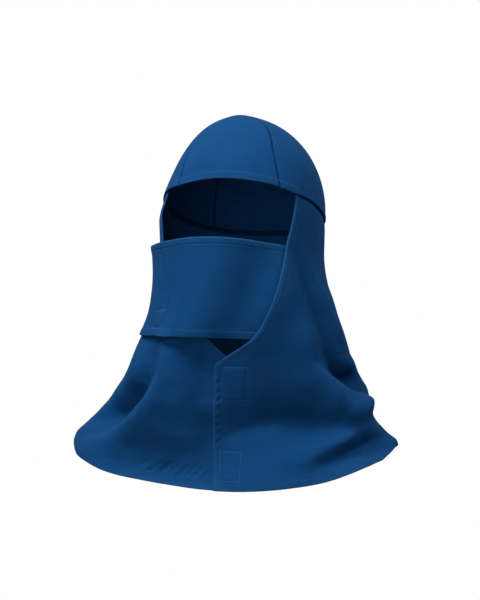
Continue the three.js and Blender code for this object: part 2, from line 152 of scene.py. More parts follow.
@dataclass(frozen=True)
class Fold:
    """A ridge or valley of cloth along a path that runs towards the wearer's left.

    The path's points are a turn, a level and the rise there in mm. The cloth falls back over one width above
    the path and another below it, in mm, by a power of the distance, with the crest rounded by the soft size.
    Stretches of the path run into each other by the blend and least sizes. A degree of turn is so many mm
    across the cloth, and a whole level so many mm down it.
    """

    name: str
    path: tuple[Point, ...]
    over: float
    under: float
    power: float = 1.4
    soft: float = 1.5
    blend: float = 0.2
    least: float = 0.5
    across: float = 1.9
    down: float = 270.0

    NIL = 1e-6

    @classmethod
    def along(cls, name: str, over: float, under: float, power: float, *path: Point) -> Fold:
        """Make a fold of the cape from its two widths, the power of its fall and the points of its path."""
        return cls(name, path, over, under, power)

    def rise(self, turn: Array, level: Array) -> Array:
        """Find how far the cloth stands out.

        Args:
            turn: Turns round the head, in degrees.
            level: Levels from the top of the cloth to its bottom.

        Returns:
            The rise in mm.
        """
        middle = self.path[len(self.path) // 2][0]
        x, y = wrapped(turn - middle) * self.across, level * self.down
        slopes = np.gradient([rise for _, _, rise in self.path])
        stretches = []
        ends = zip(self.path, self.path[1:], slopes, slopes[1:])
        for (turn_a, level_a, rise_a), (turn_b, level_b, rise_b), slope_a, slope_b in ends:
            along_x, along_y = (turn_b - turn_a) * self.across, (level_b - level_a) * self.down
            from_x, from_y = x - (turn_a - middle) * self.across, y - level_a * self.down
            length = math.hypot(along_x, along_y)
            share = np.clip((from_x * along_x + from_y * along_y) / length**2, 0, 1)
            away = np.hypot(from_x - along_x * share, from_y - along_y * share)
            side = (along_x * from_y - along_y * from_x) / (length * np.maximum(away, self.NIL))
            bend = share * (1 - share) * (slope_a * (1 - share) - slope_b * share)
            lift = (rise_b - rise_a) * share * (1 - share) * (2 * share - 1)
            stretches.append((away, np.clip(side, -1, 1), mix(rise_a, rise_b, share) + lift + bend))
        away, side, rise = (np.stack(values) for values in zip(*stretches))
        nearest = away.min(0)
        weight = np.exp((nearest - away) / (self.blend * nearest + self.least))
        away, side, rise = ((weight * values).sum(0) / weight.sum(0) for values in (away, side, rise))
        width = mix(self.over, self.under, side * 0.5 + 0.5)
        gone = np.hypot(away, self.soft) - self.soft
        return rise * np.exp(-((gone / width) ** self.power))


@dataclass(frozen=True)
class Hem:
    """A turned and stitched edge; sizes in mm from the edge."""

    width: float = 8.0
    ease_out: float = 1.0
    ease_in: float = 0.6
    cloth: float = 1.2
    thickness: float = 2.0
    stitch: float = 7.0
    groove: float = 0.4
    groove_width: float = 1.0
    puff: float = 0.15
    # Millimetres added to the distance from the stitch line, which makes the painted shade there fainter.
    shade: float = 0.9

    STOPS = (0.0, 0.6, 1.6, 3.0, 4.4, 5.6, 6.3, 6.7, 7.0, 7.3, 7.8, 8.6, 10.0)

    def from_stitch(self, away: Array) -> Array:
        """Distance from the stitch line, which sets the shade painted along it, with a little added because
        the groove is shallow.
        """
        return np.abs(away - self.stitch) + self.shade

    def half(self, away: Array) -> Array:
        """Half the thickness of the cloth at distances from the edge."""
        hemmed = smooth(away, self.width + self.ease_out, self.width - self.ease_in)
        return mix(self.cloth, self.thickness, hemmed) / 2

    def relief(self, away: Array) -> Array:
        """Find how far the outer side stands proud of the plain cloth.

        Args:
            away: Distances from the edge.

        Returns:
            The relief: a soft roll up to the stitch line, and a groove along it.
        """
        roll = self.puff * np.sin(np.pi * np.clip(away / self.stitch, 0, 1))
        line = self.groove * np.exp(-(((away - self.stitch) / self.groove_width) ** 2))
        return roll - line


@dataclass(frozen=True)
class Patch:
    """A stitched square that holds a hook-and-loop tab; its sides are mm across and down the cloth."""

    near: float
    far: float
    top: float
    bottom: float
    double: float = 2.4
    groove: float = 0.45
    groove_width: float = 0.9
    puff: float = 0.4
    puff_from: float = 0.5
    puff_full: float = -2.5
    second_groove: float = 0.6

    def relief(self, across: Array, down: Array) -> Array:
        """Find how far the square stands proud.

        Args:
            across: Places across the cloth.
            down: Places down the cloth.

        Returns:
            The relief: a low pad inside the square, and grooves along its two rows of stitches.
        """
        x = np.abs(across - (self.near + self.far) / 2) - (self.far - self.near) / 2
        y = np.abs(down - (self.top + self.bottom) / 2) - (self.bottom - self.top) / 2
        away = np.hypot(np.maximum(x, 0), np.maximum(y, 0)) + np.minimum(np.maximum(x, y), 0)
        first = np.exp(-((away / self.groove_width) ** 2))
        second = np.exp(-(((away - self.double) / self.groove_width) ** 2))
        pad = self.puff * smooth(away, self.puff_from, self.puff_full)
        return pad - self.groove * (first + self.second_groove * second)

    def outline(self, steps: int = 40) -> tuple[Array, Array]:
        """Find places round the square, one side after another.

        Args:
            steps: Places on each side.

        Returns:
            The places across and down the cloth.
        """
        run, still = np.linspace(0, 1, steps), np.zeros(steps)
        across = np.concatenate([run, still + 1, 1 - run, still])
        down = np.concatenate([still, run, still + 1, 1 - run])
        return mix(self.near, self.far, across), mix(self.top, self.bottom, down)


@dataclass(frozen=True)
class Gathers:
    """A run of small slanted puckers drawn up beside a row of stitches; sizes in mm."""

    start: float
    end: float
    near: float
    far: float
    pitch: float
    slant: float
    depth: float
    uneven: float = 0.06
    beats: tuple[float, float] = (1.7, 0.73)
    sharpness: float = 1.5
    varied: float = 0.25
    varied_pace: float = 2.3
    start_under: float = 1.2
    full_over: float = 0.6
    fade_over: float = 2.0
    end_ease: float = 5.0

    def relief(self, along: Array, away: Array) -> Array:
        """Find how far the cloth dips.

        Args:
            along: Places along the edge.
            away: Distances from the edge.

        Returns:
            The relief, which is under 0 in the puckers.
        """
        place = (along + self.slant * (away - self.near)) / self.pitch
        drift = sum(self.uneven * np.sin(beat * np.pi * place) for beat in self.beats)
        phase = place + drift
        wave = (0.5 + 0.5 * np.cos(2 * np.pi * phase)) ** self.sharpness
        strength = 1 - self.varied + self.varied * np.sin(self.varied_pace * phase + 1.0)
        band = smooth(away, self.near - self.start_under, self.near + self.full_over)
        band = band * smooth(away, self.far, self.near + self.fade_over)
        span = smooth(along, self.start - self.end_ease, self.start + self.end_ease)
        span = span * smooth(along, self.end + self.end_ease, self.end - self.end_ease)
        return -self.depth * wave * strength * band * span


@dataclass(frozen=True)
class HoodForm:
    """Sizes of the worn hood and the surfaces that they give; mm, degrees, the face towards -Y."""

    cloth: float = 1.2
    gap: float = 0.35
    loose: float = 1.0
    tab: float = 1.2
    hem: Hem = Hem()
    cap_half_width: float = 84.0
    cap_front: float = 100.0
    cap_back: float = 104.0
    cap_height: float = 100.0
    tip_polar: float = 0.8
    tip_shift: float = -4.0
    tip_peak: float = 1.5
    tip_spread: float = 9.0
    back_seam: float = 138.0
    lap_full: float = 15.0
    lap_gone: float = 45.0
    sewn_free: float = 0.1
    sewn_inset: float = 0.8
    sewn_under: float = 1.5
    sewn_above: float = 0.008
    cap_slim: Table = Table("polar right", (0, 0.96), (40, 0.91), (62, 0.92), (78, 0.97), (90, 1))
    front_seam: Table = Table(
        "share left right",
        (0, 60, 52),
        (0.3, 57.5, 57.5),
        (0.47, 51.5, 56),
        (0.65, 46.5, 47.5),
        (0.8, 45, 41.5),
        (1, 45, 37),
    )
    rims: Table = Table(
        "turn rim hem",
        (-180, 126, 368),
        (-140, 121, 357),
        (-98, 104, 338),
        (-63, 79, 358),
        (-38, 71.5, 373),
        (0, 64, 382),
        (35, 69, 374),
        (61, 81, 358),
        (75, 88, 352),
        (98, 103, 342),
        (140, 121, 357),
        (180, 126, 368),
    )
    cape: Table = Table(
        "level left right front back left_edge right_edge",
        (0, 84, 87, 100, 104, 59.7, -62),
        (0.1, 83, 86.5, 98, 104, 55, -57),
        (0.19, 83, 86, 97, 104, 49, -55),
        (0.29, 87, 88, 97, 104, 41.5, -48),
        (0.36, 93, 91, 96, 105, 35.5, -39),
        (0.44, 99, 96, 95, 107, 28, -24),
        (0.51, 105, 104, 93, 110, 19, -7),
        (0.58, 110, 113, 89, 113, 1, 6),
        (0.605, 112, 116, 87.5, 114, -2.2, 14),
        (0.72, 131.5, 130, 79, 121, -3.4, 12),
        (0.8, 136, 146, 70, 126, -4.2, 10),
        (0.87, 135.5, 160, 69, 130, -4.2, 9),
        (0.94, 149, 176, 75, 134, -3.6, 8.5),
        (0.975, 160, 184, 79, 136, -3, 8.2),
        (1, 163, 187, 81.5, 137, -2.6, 8),
    )
    folds: tuple[Fold, ...] = (
        Fold.along(
            "chest ridge, left", 12, 26, 1.4,
            (45, 0.3, 3), (49, 0.44, 6), (51, 0.545, 9), (54, 0.66, 11), (57, 0.765, 13), (64, 0.86, 10),
        ),
        Fold.along(
            "hollow behind the chest ridge", 15, 10, 1.5,
            (58, 0.235, -3), (62, 0.35, -6), (66, 0.46, -8), (70, 0.56, -8), (74, 0.63, -4),
        ),
        Fold.along(
            "shoulder ridge, left", 12, 14, 1.8,
            (61, 0.21, 1), (69, 0.29, 3), (75, 0.385, 5), (82, 0.48, 4), (90, 0.56, 1),
        ),
        Fold.along(
            "dent over the left shoulder", 20, 7, 2.3,
            (58, 0.625, -4), (64, 0.65, -13), (71, 0.685, -21), (78, 0.712, -28), (86, 0.733, -32),
            (94, 0.744, -31), (102, 0.75, -22), (109, 0.755, -9), (115, 0.76, -1),
        ),
        Fold.along(
            "roll under the dent", 12, 13, 2.0,
            (56, 0.775, 4), (62, 0.79, 7), (70, 0.803, 9), (80, 0.812, 8), (97, 0.822, 2),
        ),
        Fold.along(
            "chest hollow", 26, 13, 1.3,
            (1, 0.825, -6), (11, 0.79, -14), (23, 0.778, -17), (40, 0.808, -20), (55, 0.846, -18),
            (63, 0.864, -12),
        ),
        Fold.along(
            "flare ridge, left", 16, 11, 1.5,
            (24, 0.945, 1), (30, 0.932, 3), (36, 0.917, 5), (43, 0.902, 8), (50, 0.893, 10),
            (58, 0.884, 11), (65, 0.878, 9), (72, 0.876, 5),
        ),
        Fold.along(
            "flare hollow, left", 12, 12, 1.6,
            (30, 0.973, -2), (36, 0.968, -4), (42, 0.96, -7), (50, 0.954, -10), (58, 0.951, -12),
            (68, 0.953, -13), (80, 0.956, -11), (90, 0.962, -5),
        ),
        Fold.along(
            "hem lobe, left", 10, 9, 1.5,
            (76, 0.879, 5), (88, 0.92, 5), (97, 0.94, 2),
        ),
        Fold.along(
            "chest ridge, right", 10, 24, 1.5,
            (-62, 0.945, 6), (-56, 0.917, 9), (-51, 0.884, 11), (-44, 0.837, 13), (-38, 0.78, 13),
            (-33, 0.71, 12), (-30, 0.64, 10), (-30, 0.58, 8), (-32, 0.521, 5),
        ),
        Fold.along(
            "band hollow, right", 22, 9, 1.6,
            (-92, 0.9, -2), (-86, 0.9, -11), (-80, 0.893, -19), (-73, 0.885, -24), (-64, 0.86, -26),
            (-58, 0.83, -25), (-54, 0.79, -22), (-50, 0.74, -18), (-46, 0.695, -14), (-43, 0.65, -10),
            (-43, 0.6, -7), (-44, 0.545, -3),
        ),
        Fold.along(
            "shoulder roll, right", 24, 12, 2.0,
            (-76, 0.69, 0), (-66, 0.695, 4), (-57, 0.69, 6), (-49, 0.675, 4),
        ),
        Fold.along(
            "chest swell, right", 45, 20, 2.0,
            (-30, 0.815, 9), (-17, 0.82, 11), (-6, 0.825, 6),
        ),
        Fold.along(
            "flare hollow, right", 30, 7, 1.6,
            (-47, 0.955, -4), (-38, 0.967, -8), (-29, 0.971, -11), (-18, 0.969, -12), (-7, 0.957, -8),
        ),
        Fold.along(
            "throat ridge", 8, 14, 1.4,
            (-27, 0.525, 5), (-21, 0.6, 6), (-17, 0.68, 3),
        ),
        Fold.along(
            "throat hollow", 9, 8, 1.4,
            (-22, 0.528, -6), (-16, 0.567, -8), (-10, 0.621, -7), (-7, 0.686, -4),
        ),
        Fold.along(
            "face edge", 20, 20, 2.0,
            (19, 0.5, 4), (27, 0.44, 5), (38, 0.36, 5), (46, 0.29, 4), (51, 0.2, 2),
        ),
        Fold.along(
            "back flute, far left", 18, 18, 1.8,
            (128, 0.5, 0), (126, 0.75, 5), (124, 1, 8),
        ),
        Fold.along(
            "back hollow, left", 16, 16, 1.8,
            (144, 0.55, 0), (143, 0.78, -4), (142, 1, -8),
        ),
        Fold.along(
            "back flute, left", 18, 18, 1.8,
            (161, 0.45, 0), (163, 0.72, 6), (165, 1, 10),
        ),
        Fold.along(
            "back hollow, middle", 18, 18, 1.8,
            (181, 0.5, 0), (182, 0.76, -5), (184, 1, -8),
        ),
        Fold.along(
            "back flute, right", 18, 18, 1.8,
            (199, 0.55, 0), (202, 0.8, 5), (206, 1, 9),
        ),
        Fold.along(
            "back hollow, right", 18, 18, 1.8,
            (217, 0.5, 0), (221, 0.78, -5), (226, 1, -8),
        ),
        Fold.along(
            "back flute, far right", 20, 20, 1.8,
            (236, 0.55, 0), (241, 0.8, 5), (246, 1, 8),
        ),
    )

    @property
    def lap_rise(self) -> float:
        """Distance between the two layers of the lap, a tab and both hems included."""
        return self.hem.thickness + self.tab + 2 * self.gap

    @property
    def tuck(self) -> float:
        """Distance from the mask to the cape's edge that lies over it."""
        return self.cloth / 2 + self.hem.thickness / 2 + self.loose

    def cap_point(self, turn: Array, polar: Array) -> Array:
        """Find points of the cap.

        Args:
            turn: Turns round the head.
            polar: Angles from the cap's top; past 90 the wall hangs straight.

        Returns:
            The points.
        """
        low = polar > 90
        reach = np.where(low, 1.0, np.sin(np.radians(polar)))
        fall = np.where(low, 1 + np.radians(polar - 90), 1 - np.cos(np.radians(polar)))
        slim = np.where(turn < 0, self.cap_slim.at("right", polar), 1.0)
        depth = np.where(np.abs(turn) < 90, self.cap_front, self.cap_back)
        x = self.cap_half_width * slim * reach * np.sin(np.radians(turn))
        y = -depth * reach * np.cos(np.radians(turn))
        return np.stack([x, y, self.cloth / 2 - self.cap_height * fall], -1)

    def polar_at(self, drop: Array) -> Array:
        """Angle from the cap's top at a drop below it."""
        rest = 1 - drop / self.cap_height
        return np.degrees(np.where(rest > 0, np.arccos(np.clip(rest, 0, 1)), np.pi / 2 - rest))

    def rim_polar(self, turn: Array) -> Array:
        """Angle from the cap's top to its rim, at a turn."""
        return self.polar_at(self.rims.at("rim", wrapped(turn)))

    def gore_point(self, turn: Array, share: Array) -> Array:
        """Find points of the cap by the share of the way to its rim.

        Args:
            turn: Turns round the head.
            share: Shares of the way from the top to the rim.

        Returns:
            The points.
        """
        turn = wrapped(turn)
        polar = mix(self.tip_polar, self.rim_polar(turn), share)
        point = self.cap_point(turn, polar)
        point[..., 0] += self.tip_shift * np.clip(1 - share, 0, 1) ** 3
        point[..., 2] += self.tip_peak * np.exp(-((polar / self.tip_spread) ** 2))
        return point

    def fold_rise(self, turn: Array, level: Array) -> Array:
        """Rise of the cape's cloth in mm, summed over its folds."""
        return sum(fold.rise(wrapped(turn), level) for fold in self.folds)

    def _reaches(self, turn: Array, level: Array) -> tuple[Array, Array]:
        """Find the half axes of the cape's oval.

        Args:
            turn: Turns round the head, from -180 to 180.
            level: Levels from the rim to the hem.

        Returns:
            How far the cape reaches to the side, and to the front or the back.
        """
        width = np.where(turn > 0, self.cape.at("left", level), self.cape.at("right", level))
        depth = np.where(np.abs(turn) < 90, self.cape.at("front", level), self.cape.at("back", level))
        return width, depth

    def cape_point(self, turn: Array, level: Array, off: Array | float) -> Array:
        """Find points of the cape's form.

        Args:
            turn: Turns round the head.
            level: Levels from the rim to the hem; under 0 the cloth runs up inside the cap.
            off: Distances out from the form.

        Returns:
            The points.
        """
        turn = wrapped(turn)
        sin, cos = np.sin(np.radians(turn)), np.cos(np.radians(turn))
        rim = self.rims.at("rim", turn)
        drop = mix(rim + self.gap, self.rims.at("hem", turn), level)
        sewn = self.cap_point(turn, self.polar_at(np.minimum(drop, rim)))
        width, depth = self._reaches(turn, level)
        free = smooth(level, 0, self.sewn_free)
        rise = self.fold_rise(turn, level)
        inset = mix(self.sewn_inset, self.sewn_under, smooth(level, 0, -self.sewn_above))
        out_x, out_y = sin / width, -cos / depth
        out = (off + mix(-inset, rise, free)) / np.hypot(out_x, out_y)
        x = mix(sewn[..., 0], width * sin, free) + out_x * out
        y = mix(sewn[..., 1], -depth * cos, free) + out_y * out
        return np.stack([x, y, self.cloth / 2 - drop], -1)

    def level_at(self, turn: Array, drop: Array) -> Array:
        """Level of the cape's form at a turn and a drop."""
        rim = self.rims.at("rim", turn) + self.gap
        return (drop - rim) / (self.rims.at("hem", turn) - rim)

    def fall(self, turn: Array) -> Array:
        """Drop of the cape from the cap's rim to its hem, at a turn."""
        turn = wrapped(turn)
        return self.rims.at("hem", turn) - self.rims.at("rim", turn) - self.gap

    def girth(self, turn: Array, level: Array) -> Array:
        """Find how much cloth a degree of turn takes.

        Args:
            turn: Turns round the head.
            level: Levels from the rim to the hem.

        Returns:
            Millimetres to a degree.
        """
        width, depth = self._reaches(wrapped(turn), level)
        angle = np.radians(wrapped(turn))
        return np.radians(np.hypot(width * np.cos(angle), depth * np.sin(angle)))


@dataclass
class ClothSheet:
    """A cloth surface with two sides, laid out on a grid of two surface values."""

    name: str
    surface: Surface
    outside: Offset
    inside: Offset
    steps: tuple[float, float]

    ROUNDING = 0.35

    def frame(self, a: Array, b: Array) -> tuple[Array, Array, Array, Array]:
        """Find points of the surface and its directions.

        Args:
            a: First surface values, running anticlockwise round the head.
            b: Second surface values, running downwards.

        Returns:
            The points, the outward normals, and the directions along a and b.
        """
        step_a, step_b = self.steps
        along_a = self.surface(a + step_a, b) - self.surface(a - step_a, b)
        along_b = self.surface(a, b + step_b) - self.surface(a, b - step_b)
        normal = np.cross(along_b, along_a)
        units = [v / np.linalg.norm(v, axis=-1, keepdims=True) for v in (normal, along_a, along_b)]
        return self.surface(a, b), *units

    def on_top(self, a: Array, b: Array) -> Array:
        """Find points just above the outer side, where stitches lie.

        Args:
            a: First surface values.
            b: Second surface values.

        Returns:
            The points in metres.
        """
        point, normal, _, _ = self.frame(a, b)
        return (point + normal * (self.outside(a, b) + STITCH_LIFT_MM)[..., None]) * MM

    def build(self, a: Array, b: Array, edge: Array, seam: Array) -> bpy.types.Object:
        """Make the closed mesh of the sheet, with a rounded rim, a cloth UV map, an attribute for wear and
        one for painted shade.

        Args:
            a: Grid of first surface values.
            b: Grid of second surface values.
            edge: Grid of distances from the worn edges, in mm.
            seam: Grid of distances from the sewn seams, in mm, by which shade is painted along them.

        Returns:
            The mesh object.
        """
        point, normal, along_a, along_b = self.frame(a, b)
        outside, inside = self.outside(a, b)[..., None], self.inside(a, b)[..., None]
        grid = np.arange(a.size).reshape(a.shape)
        loop = np.concatenate([grid[0, :-1], grid[:-1, -1], grid[-1, :0:-1], grid[:0:-1, 0]])
        away = np.zeros_like(point)
        away[0] -= along_b[0]
        away[-1] += along_b[-1]
        away[:, 0] -= along_a[:, 0]
        away[:, -1] += along_a[:, -1]
        outer, inner = point + normal * outside, point - normal * inside
        rim = (outer + inner) / 2 + away * (outside + inside) * self.ROUNDING
        vertices = np.concatenate([outer.reshape(-1, 3), inner.reshape(-1, 3), rim.reshape(-1, 3)[loop]]) * MM
        faces = self._faces(grid, loop)
        mesh = bpy.data.meshes.new(self.name)
        mesh.from_pydata(vertices.tolist(), [], faces.tolist())
        mesh.polygons.foreach_set("use_smooth", np.ones(len(faces), bool))
        spread = [self._lengths(point), self._lengths(point.swapaxes(0, 1)).swapaxes(0, 1)]
        cloth = self._per_vertex(np.stack(spread, -1).reshape(-1, 2) * MM, loop)
        mesh.uv_layers.new(name="cloth").data.foreach_set("uv", cloth[faces.ravel()].ravel())
        # edge_mm sets the pale wear of the edges; seam_mm sets the shade painted along the seams.
        for label, distance in (("edge_mm", edge), ("seam_mm", seam)):
            worn = mesh.attributes.new(label, "FLOAT", "POINT")
            worn.data.foreach_set("value", self._per_vertex(distance.ravel(), loop))
        mesh.update()
        piece = bpy.data.objects.new(self.name, mesh)
        bpy.context.scene.collection.objects.link(piece)
        return piece

    @staticmethod
    def _faces(grid: Array, loop: Array) -> Array:
        """Join the vertices of both sides and of the rim between them.

        Args:
            grid: Numbers of the outer side's vertices.
            loop: Those along the sheet's border, in order.

        Returns:
            The faces, each with four vertex numbers.
        """
        count = grid.size
        top_left, top_right = grid[:-1, :-1].ravel(), grid[:-1, 1:].ravel()
        low_left, low_right = grid[1:, :-1].ravel(), grid[1:, 1:].ravel()
        around = np.arange(len(loop)) + 2 * count
        ahead, around_ahead = np.roll(loop, -1), np.roll(around, -1)
        return np.concatenate(
            [
                np.stack([top_left, low_left, low_right, top_right], -1),
                np.stack([top_left, top_right, low_right, low_left], -1) + count,
                np.stack([loop, ahead, around_ahead, around], -1),
                np.stack([around, around_ahead, ahead + count, loop + count], -1),
            ]
        )

    @staticmethod
    def _per_vertex(values: Array, loop: Array) -> Array:
        """Values of the grid, repeated for the outer side, the inner side and the rim."""
        return np.concatenate([values, values, values[loop]]).astype(np.float32)

    @staticmethod
    def _lengths(point: Array) -> Array:
        """Measure the cloth along each row of points.

        Args:
            point: Rows of points.

        Returns:
            Lengths from the middle of each row.
        """
        steps = np.linalg.norm(np.diff(point, axis=1), axis=-1)
        run = np.concatenate([np.zeros((len(point), 1)), np.cumsum(steps, axis=1)], axis=1)
        return run - run[:, run.shape[1] // 2][:, None]


def add_node(
    tree: bpy.types.NodeTree,
    kind: str,
    settings: dict[str, Any] | None = None,
    inputs: dict[str | int, Any] | None = None,
) -> bpy.types.Node:
    """Add a node to a tree.

    Args:
        tree: The tree.
        kind: The node's type.
        settings: Settings of the node, made first.
        inputs: Values or links of its sockets, by name or number.

    Returns:
        The node.
    """
    node = tree.nodes.new(kind)
    for name, setting in (settings or {}).items():
        setattr(node, name, setting)
    for name, given in (inputs or {}).items():
        source = given.socket if isinstance(given, Value) else given
        if isinstance(source, bpy.types.NodeSocket):
            tree.links.new(source, node.inputs[name])
        else:
            node.inputs[name].default_value = source
    return node


class Value:
    """A number that varies over a surface, with the usual operators."""

    def __init__(self, shader: Shader, socket: bpy.types.NodeSocket) -> None:
        """Wrap a socket of a shader."""
        self.shader = shader
        self.socket = socket

    def maths(self, operation: str, *others: Value | float) -> Value:
        """Work out a Math node with this value as its first input.

        Args:
            operation: The node's operation.
            others: The other inputs.

        Returns:
            The result.
        """
        inputs = dict(enumerate((self, *others)))
        node = self.shader.add("ShaderNodeMath", {"operation": operation}, inputs)
        return Value(self.shader, node.outputs[0])

    def __add__(self, other: Value | float) -> Value:
        """Sum."""
        return self.maths("ADD", other)

    def __mul__(self, other: Value | float) -> Value:
        """Product."""
        return self.maths("MULTIPLY", other)

    def __sub__(self, other: Value | float) -> Value:
        """Difference."""
        return self.maths("SUBTRACT", other)

    def __rsub__(self, other: float) -> Value:
        """Difference from a number."""
        return self * -1.0 + other

    def sine(self) -> Value:
        """Sine."""
        return self.maths("SINE")

    def exp(self) -> Value:
        """Power of e."""
        return self.maths("EXPONENT")


class Shader:
    """A material and the nodes that make it."""

    def __init__(self, name: str) -> None:
        """Start an empty material.

        Args:
            name: The material's name.
        """
        self.material = bpy.data.materials.new(name)
        self.material.use_nodes = True
        self.tree = self.material.node_tree
        self.tree.nodes.clear()

    def add(
        self, kind: str, settings: dict[str, Any] | None = None, inputs: dict[str | int, Any] | None = None
    ) -> bpy.types.Node:
        """Add a node to the material, as add_node does."""
        return add_node(self.tree, kind, settings, inputs)

    def value(self, node: bpy.types.Node, output: str) -> Value:
        """One output of a node as a number."""
        return Value(self, node.outputs[output])

    def blend(self, factor: Value, start: Any, end: Any) -> bpy.types.NodeSocket:
        """Mix two colours.

        Args:
            factor: Share of the second colour.
            start: First colour or its link.
            end: Second colour or its link.

        Returns:
            The mixed colour's socket.
        """
        settings = {"data_type": "RGBA", "blend_type": "MIX"}
        node = self.add("ShaderNodeMix", settings, {0: factor, 6: start, 7: end})
        return node.outputs[2]

    def bump(self, height: Value, strength: float, depth: float) -> bpy.types.NodeSocket:
        """Raise the surface a little.

        Args:
            height: Height over the surface, from 0 to 1.
            strength: Share of the bump that shows.
            depth: Depth of the bump, in mm.

        Returns:
            The normal's socket.
        """
        inputs = {"Strength": strength, "Distance": depth * MM, "Height": height}
        return self.add("ShaderNodeBump", None, inputs).outputs[0]

    def finish(self, **inputs: Any) -> bpy.types.Material:
        """Close the material with its surface shader.

        Args:
            inputs: Values or links of the shader's sockets, with underscores for spaces.

        Returns:
            The material.
        """
        named = {name.replace("_", " "): given for name, given in inputs.items()}
        surface = self.add("ShaderNodeBsdfPrincipled", None, named)
        self.add("ShaderNodeOutputMaterial", None, {"Surface": surface.outputs[0]})
        return self.material


@dataclass(frozen=True)
class TwillFinish:
    """Matt blue cotton twill, a little faded, paler along its worn edges and darkened by painted shade along
    its seams; lengths in mm.
    """

    name: str = "blue_twill"
    deep: Colour = (0.0046, 0.049, 0.16, 1)
    pale: Colour = (0.0086, 0.082, 0.25, 1)
    worn: Colour = (0.03, 0.125, 0.29, 1)
    # Painted shade: the dark colour laid along seams and stitch lines.
    seam_shade_colour: Colour = (0.0014, 0.0135, 0.045, 1)
    rib: float = 1.1
    slub: float = 2.2
    slub_stretch: float = 0.06
    cloud: float = 26.0
    lint_pace: float = 0.9
    edge_fade: float = 1.1
    edge_wear: float = 0.45
    wear_least: float = 0.5
    wear_range: float = 0.6
    # Width and strength of the painted seam shade.
    seam_shade_width: float = 1.3
    seam_shade_depth: float = 0.8
    roughness: float = 0.9
    roughness_range: float = 0.12
    bump: float = 0.35
    bump_depth: float = 0.3
    tones: Point = (0.16, 0.4, 0.6)
    tone_drop: float = 0.1
    rises: Point = (0.55, 0.5, 0.35)
    sheen: float = 0.03
    sheen_roughness: float = 0.5
    sheen_tint: Colour = (0.1, 0.4, 1.0, 1.0)
    gloss: float = 0.04

    def make(self) -> bpy.types.Material:
        """Build the material: diagonal ribs, slubs across them, faded clouds, pale edges and painted shade
        along the seams.

        Returns:
            The material.
        """
        shader = Shader(self.name)
        cloth = shader.add("ShaderNodeUVMap", {"uv_map": "cloth"}).outputs[0]
        scaled = shader.add("ShaderNodeVectorMath", {"operation": "SCALE"}, {0: cloth, "Scale": 1 / MM})
        spread = scaled.outputs[0]
        axes = shader.add("ShaderNodeSeparateXYZ", None, {0: spread})
        across, down = shader.value(axes, "X"), shader.value(axes, "Y")
        rib = ((across + down) * (2 * math.pi / self.rib)).sine() * 0.5 + 0.5
        slub = self._noise(shader, spread, (self.slub_stretch / self.slub, 1 / self.slub, 1), 2.0)
        cloud = self._noise(shader, spread, (1 / self.cloud,) * 3, 3.0)
        lint = self._noise(shader, spread, (self.lint_pace,) * 3, 2.0)
        edge = shader.value(shader.add("ShaderNodeAttribute", {"attribute_name": "edge_mm"}), "Fac")
        patchy = lint * self.wear_range + self.wear_least
        wear = (edge * (-1 / self.edge_fade)).exp() * patchy * self.edge_wear
        rib_tone, slub_tone, cloud_tone = self.tones
        tone = cloud * cloud_tone + slub * slub_tone + rib * rib_tone - self.tone_drop
        cloth_colour = shader.blend(tone, self.deep, self.pale)
        edged = shader.blend(wear, cloth_colour, self.worn)
        # Painted shade: the cloth is darker close to seams and stitch lines.
        seam = shader.value(shader.add("ShaderNodeAttribute", {"attribute_name": "seam_mm"}), "Fac")
        shade = (seam * seam * (-1 / self.seam_shade_width**2)).exp() * self.seam_shade_depth
        colour = shader.blend(shade, edged, self.seam_shade_colour)
        rib_rise, slub_rise, lint_rise = self.rises
        height = rib * rib_rise + slub * slub_rise + lint * lint_rise
        return shader.finish(
            Base_Color=colour,
            Roughness=lint * self.roughness_range + (self.roughness - self.roughness_range / 2),
            Normal=shader.bump(height, self.bump, self.bump_depth),
            Sheen_Weight=self.sheen,
            Sheen_Roughness=self.sheen_roughness,
            Sheen_Tint=self.sheen_tint,
            Specular_IOR_Level=self.gloss,
        )

    @staticmethod
    def _noise(
        shader: Shader, spread: bpy.types.NodeSocket, scale: Sequence[float], detail: float
    ) -> Value:
        """Read a noise over the cloth.

        Args:
            shader: The material's shader.
            spread: Place on the cloth, in mm.
            scale: Turns of the noise to a mm, along each axis.
            detail: Octaves of the noise.

        Returns:
            The noise, from 0 to 1.
        """
        settings = {"operation": "MULTIPLY"}
        place = shader.add("ShaderNodeVectorMath", settings, {0: spread, 1: tuple(scale)}).outputs[0]
        noise = shader.add("ShaderNodeTexNoise", None, {"Vector": place, "Scale": 1.0, "Detail": detail})
        return shader.value(noise, "Fac")


@dataclass(frozen=True)
class ThreadFinish:
    """Blue polyester sewing thread, a shade paler than the cloth; lengths in mm."""

    name: str = "blue_thread"
    deep: Colour = (0.02, 0.11, 0.27, 1)
    pale: Colour = (0.042, 0.165, 0.36, 1)
    strand: float = 0.35
    roughness: float = 0.6
    roughness_range: float = 0.2
    bump: float = 0.4
    bump_depth: float = 0.05

    def make(self) -> bpy.types.Material:
        """Build the material: fine strands that vary in tone and stand up a little.

        Returns:
            The material.
        """
        shader = Shader(self.name)
        place = shader.add("ShaderNodeTexCoord").outputs["Object"]
        sizes = {"Vector": place, "Scale": 1 / (self.strand * MM), "Detail": 2.0}
        strand = shader.value(shader.add("ShaderNodeTexNoise", None, sizes), "Fac")
        return shader.finish(
            Base_Color=shader.blend(strand, self.deep, self.pale),
            Roughness=strand * self.roughness_range + self.roughness,
            Normal=shader.bump(strand, self.bump, self.bump_depth),
        )


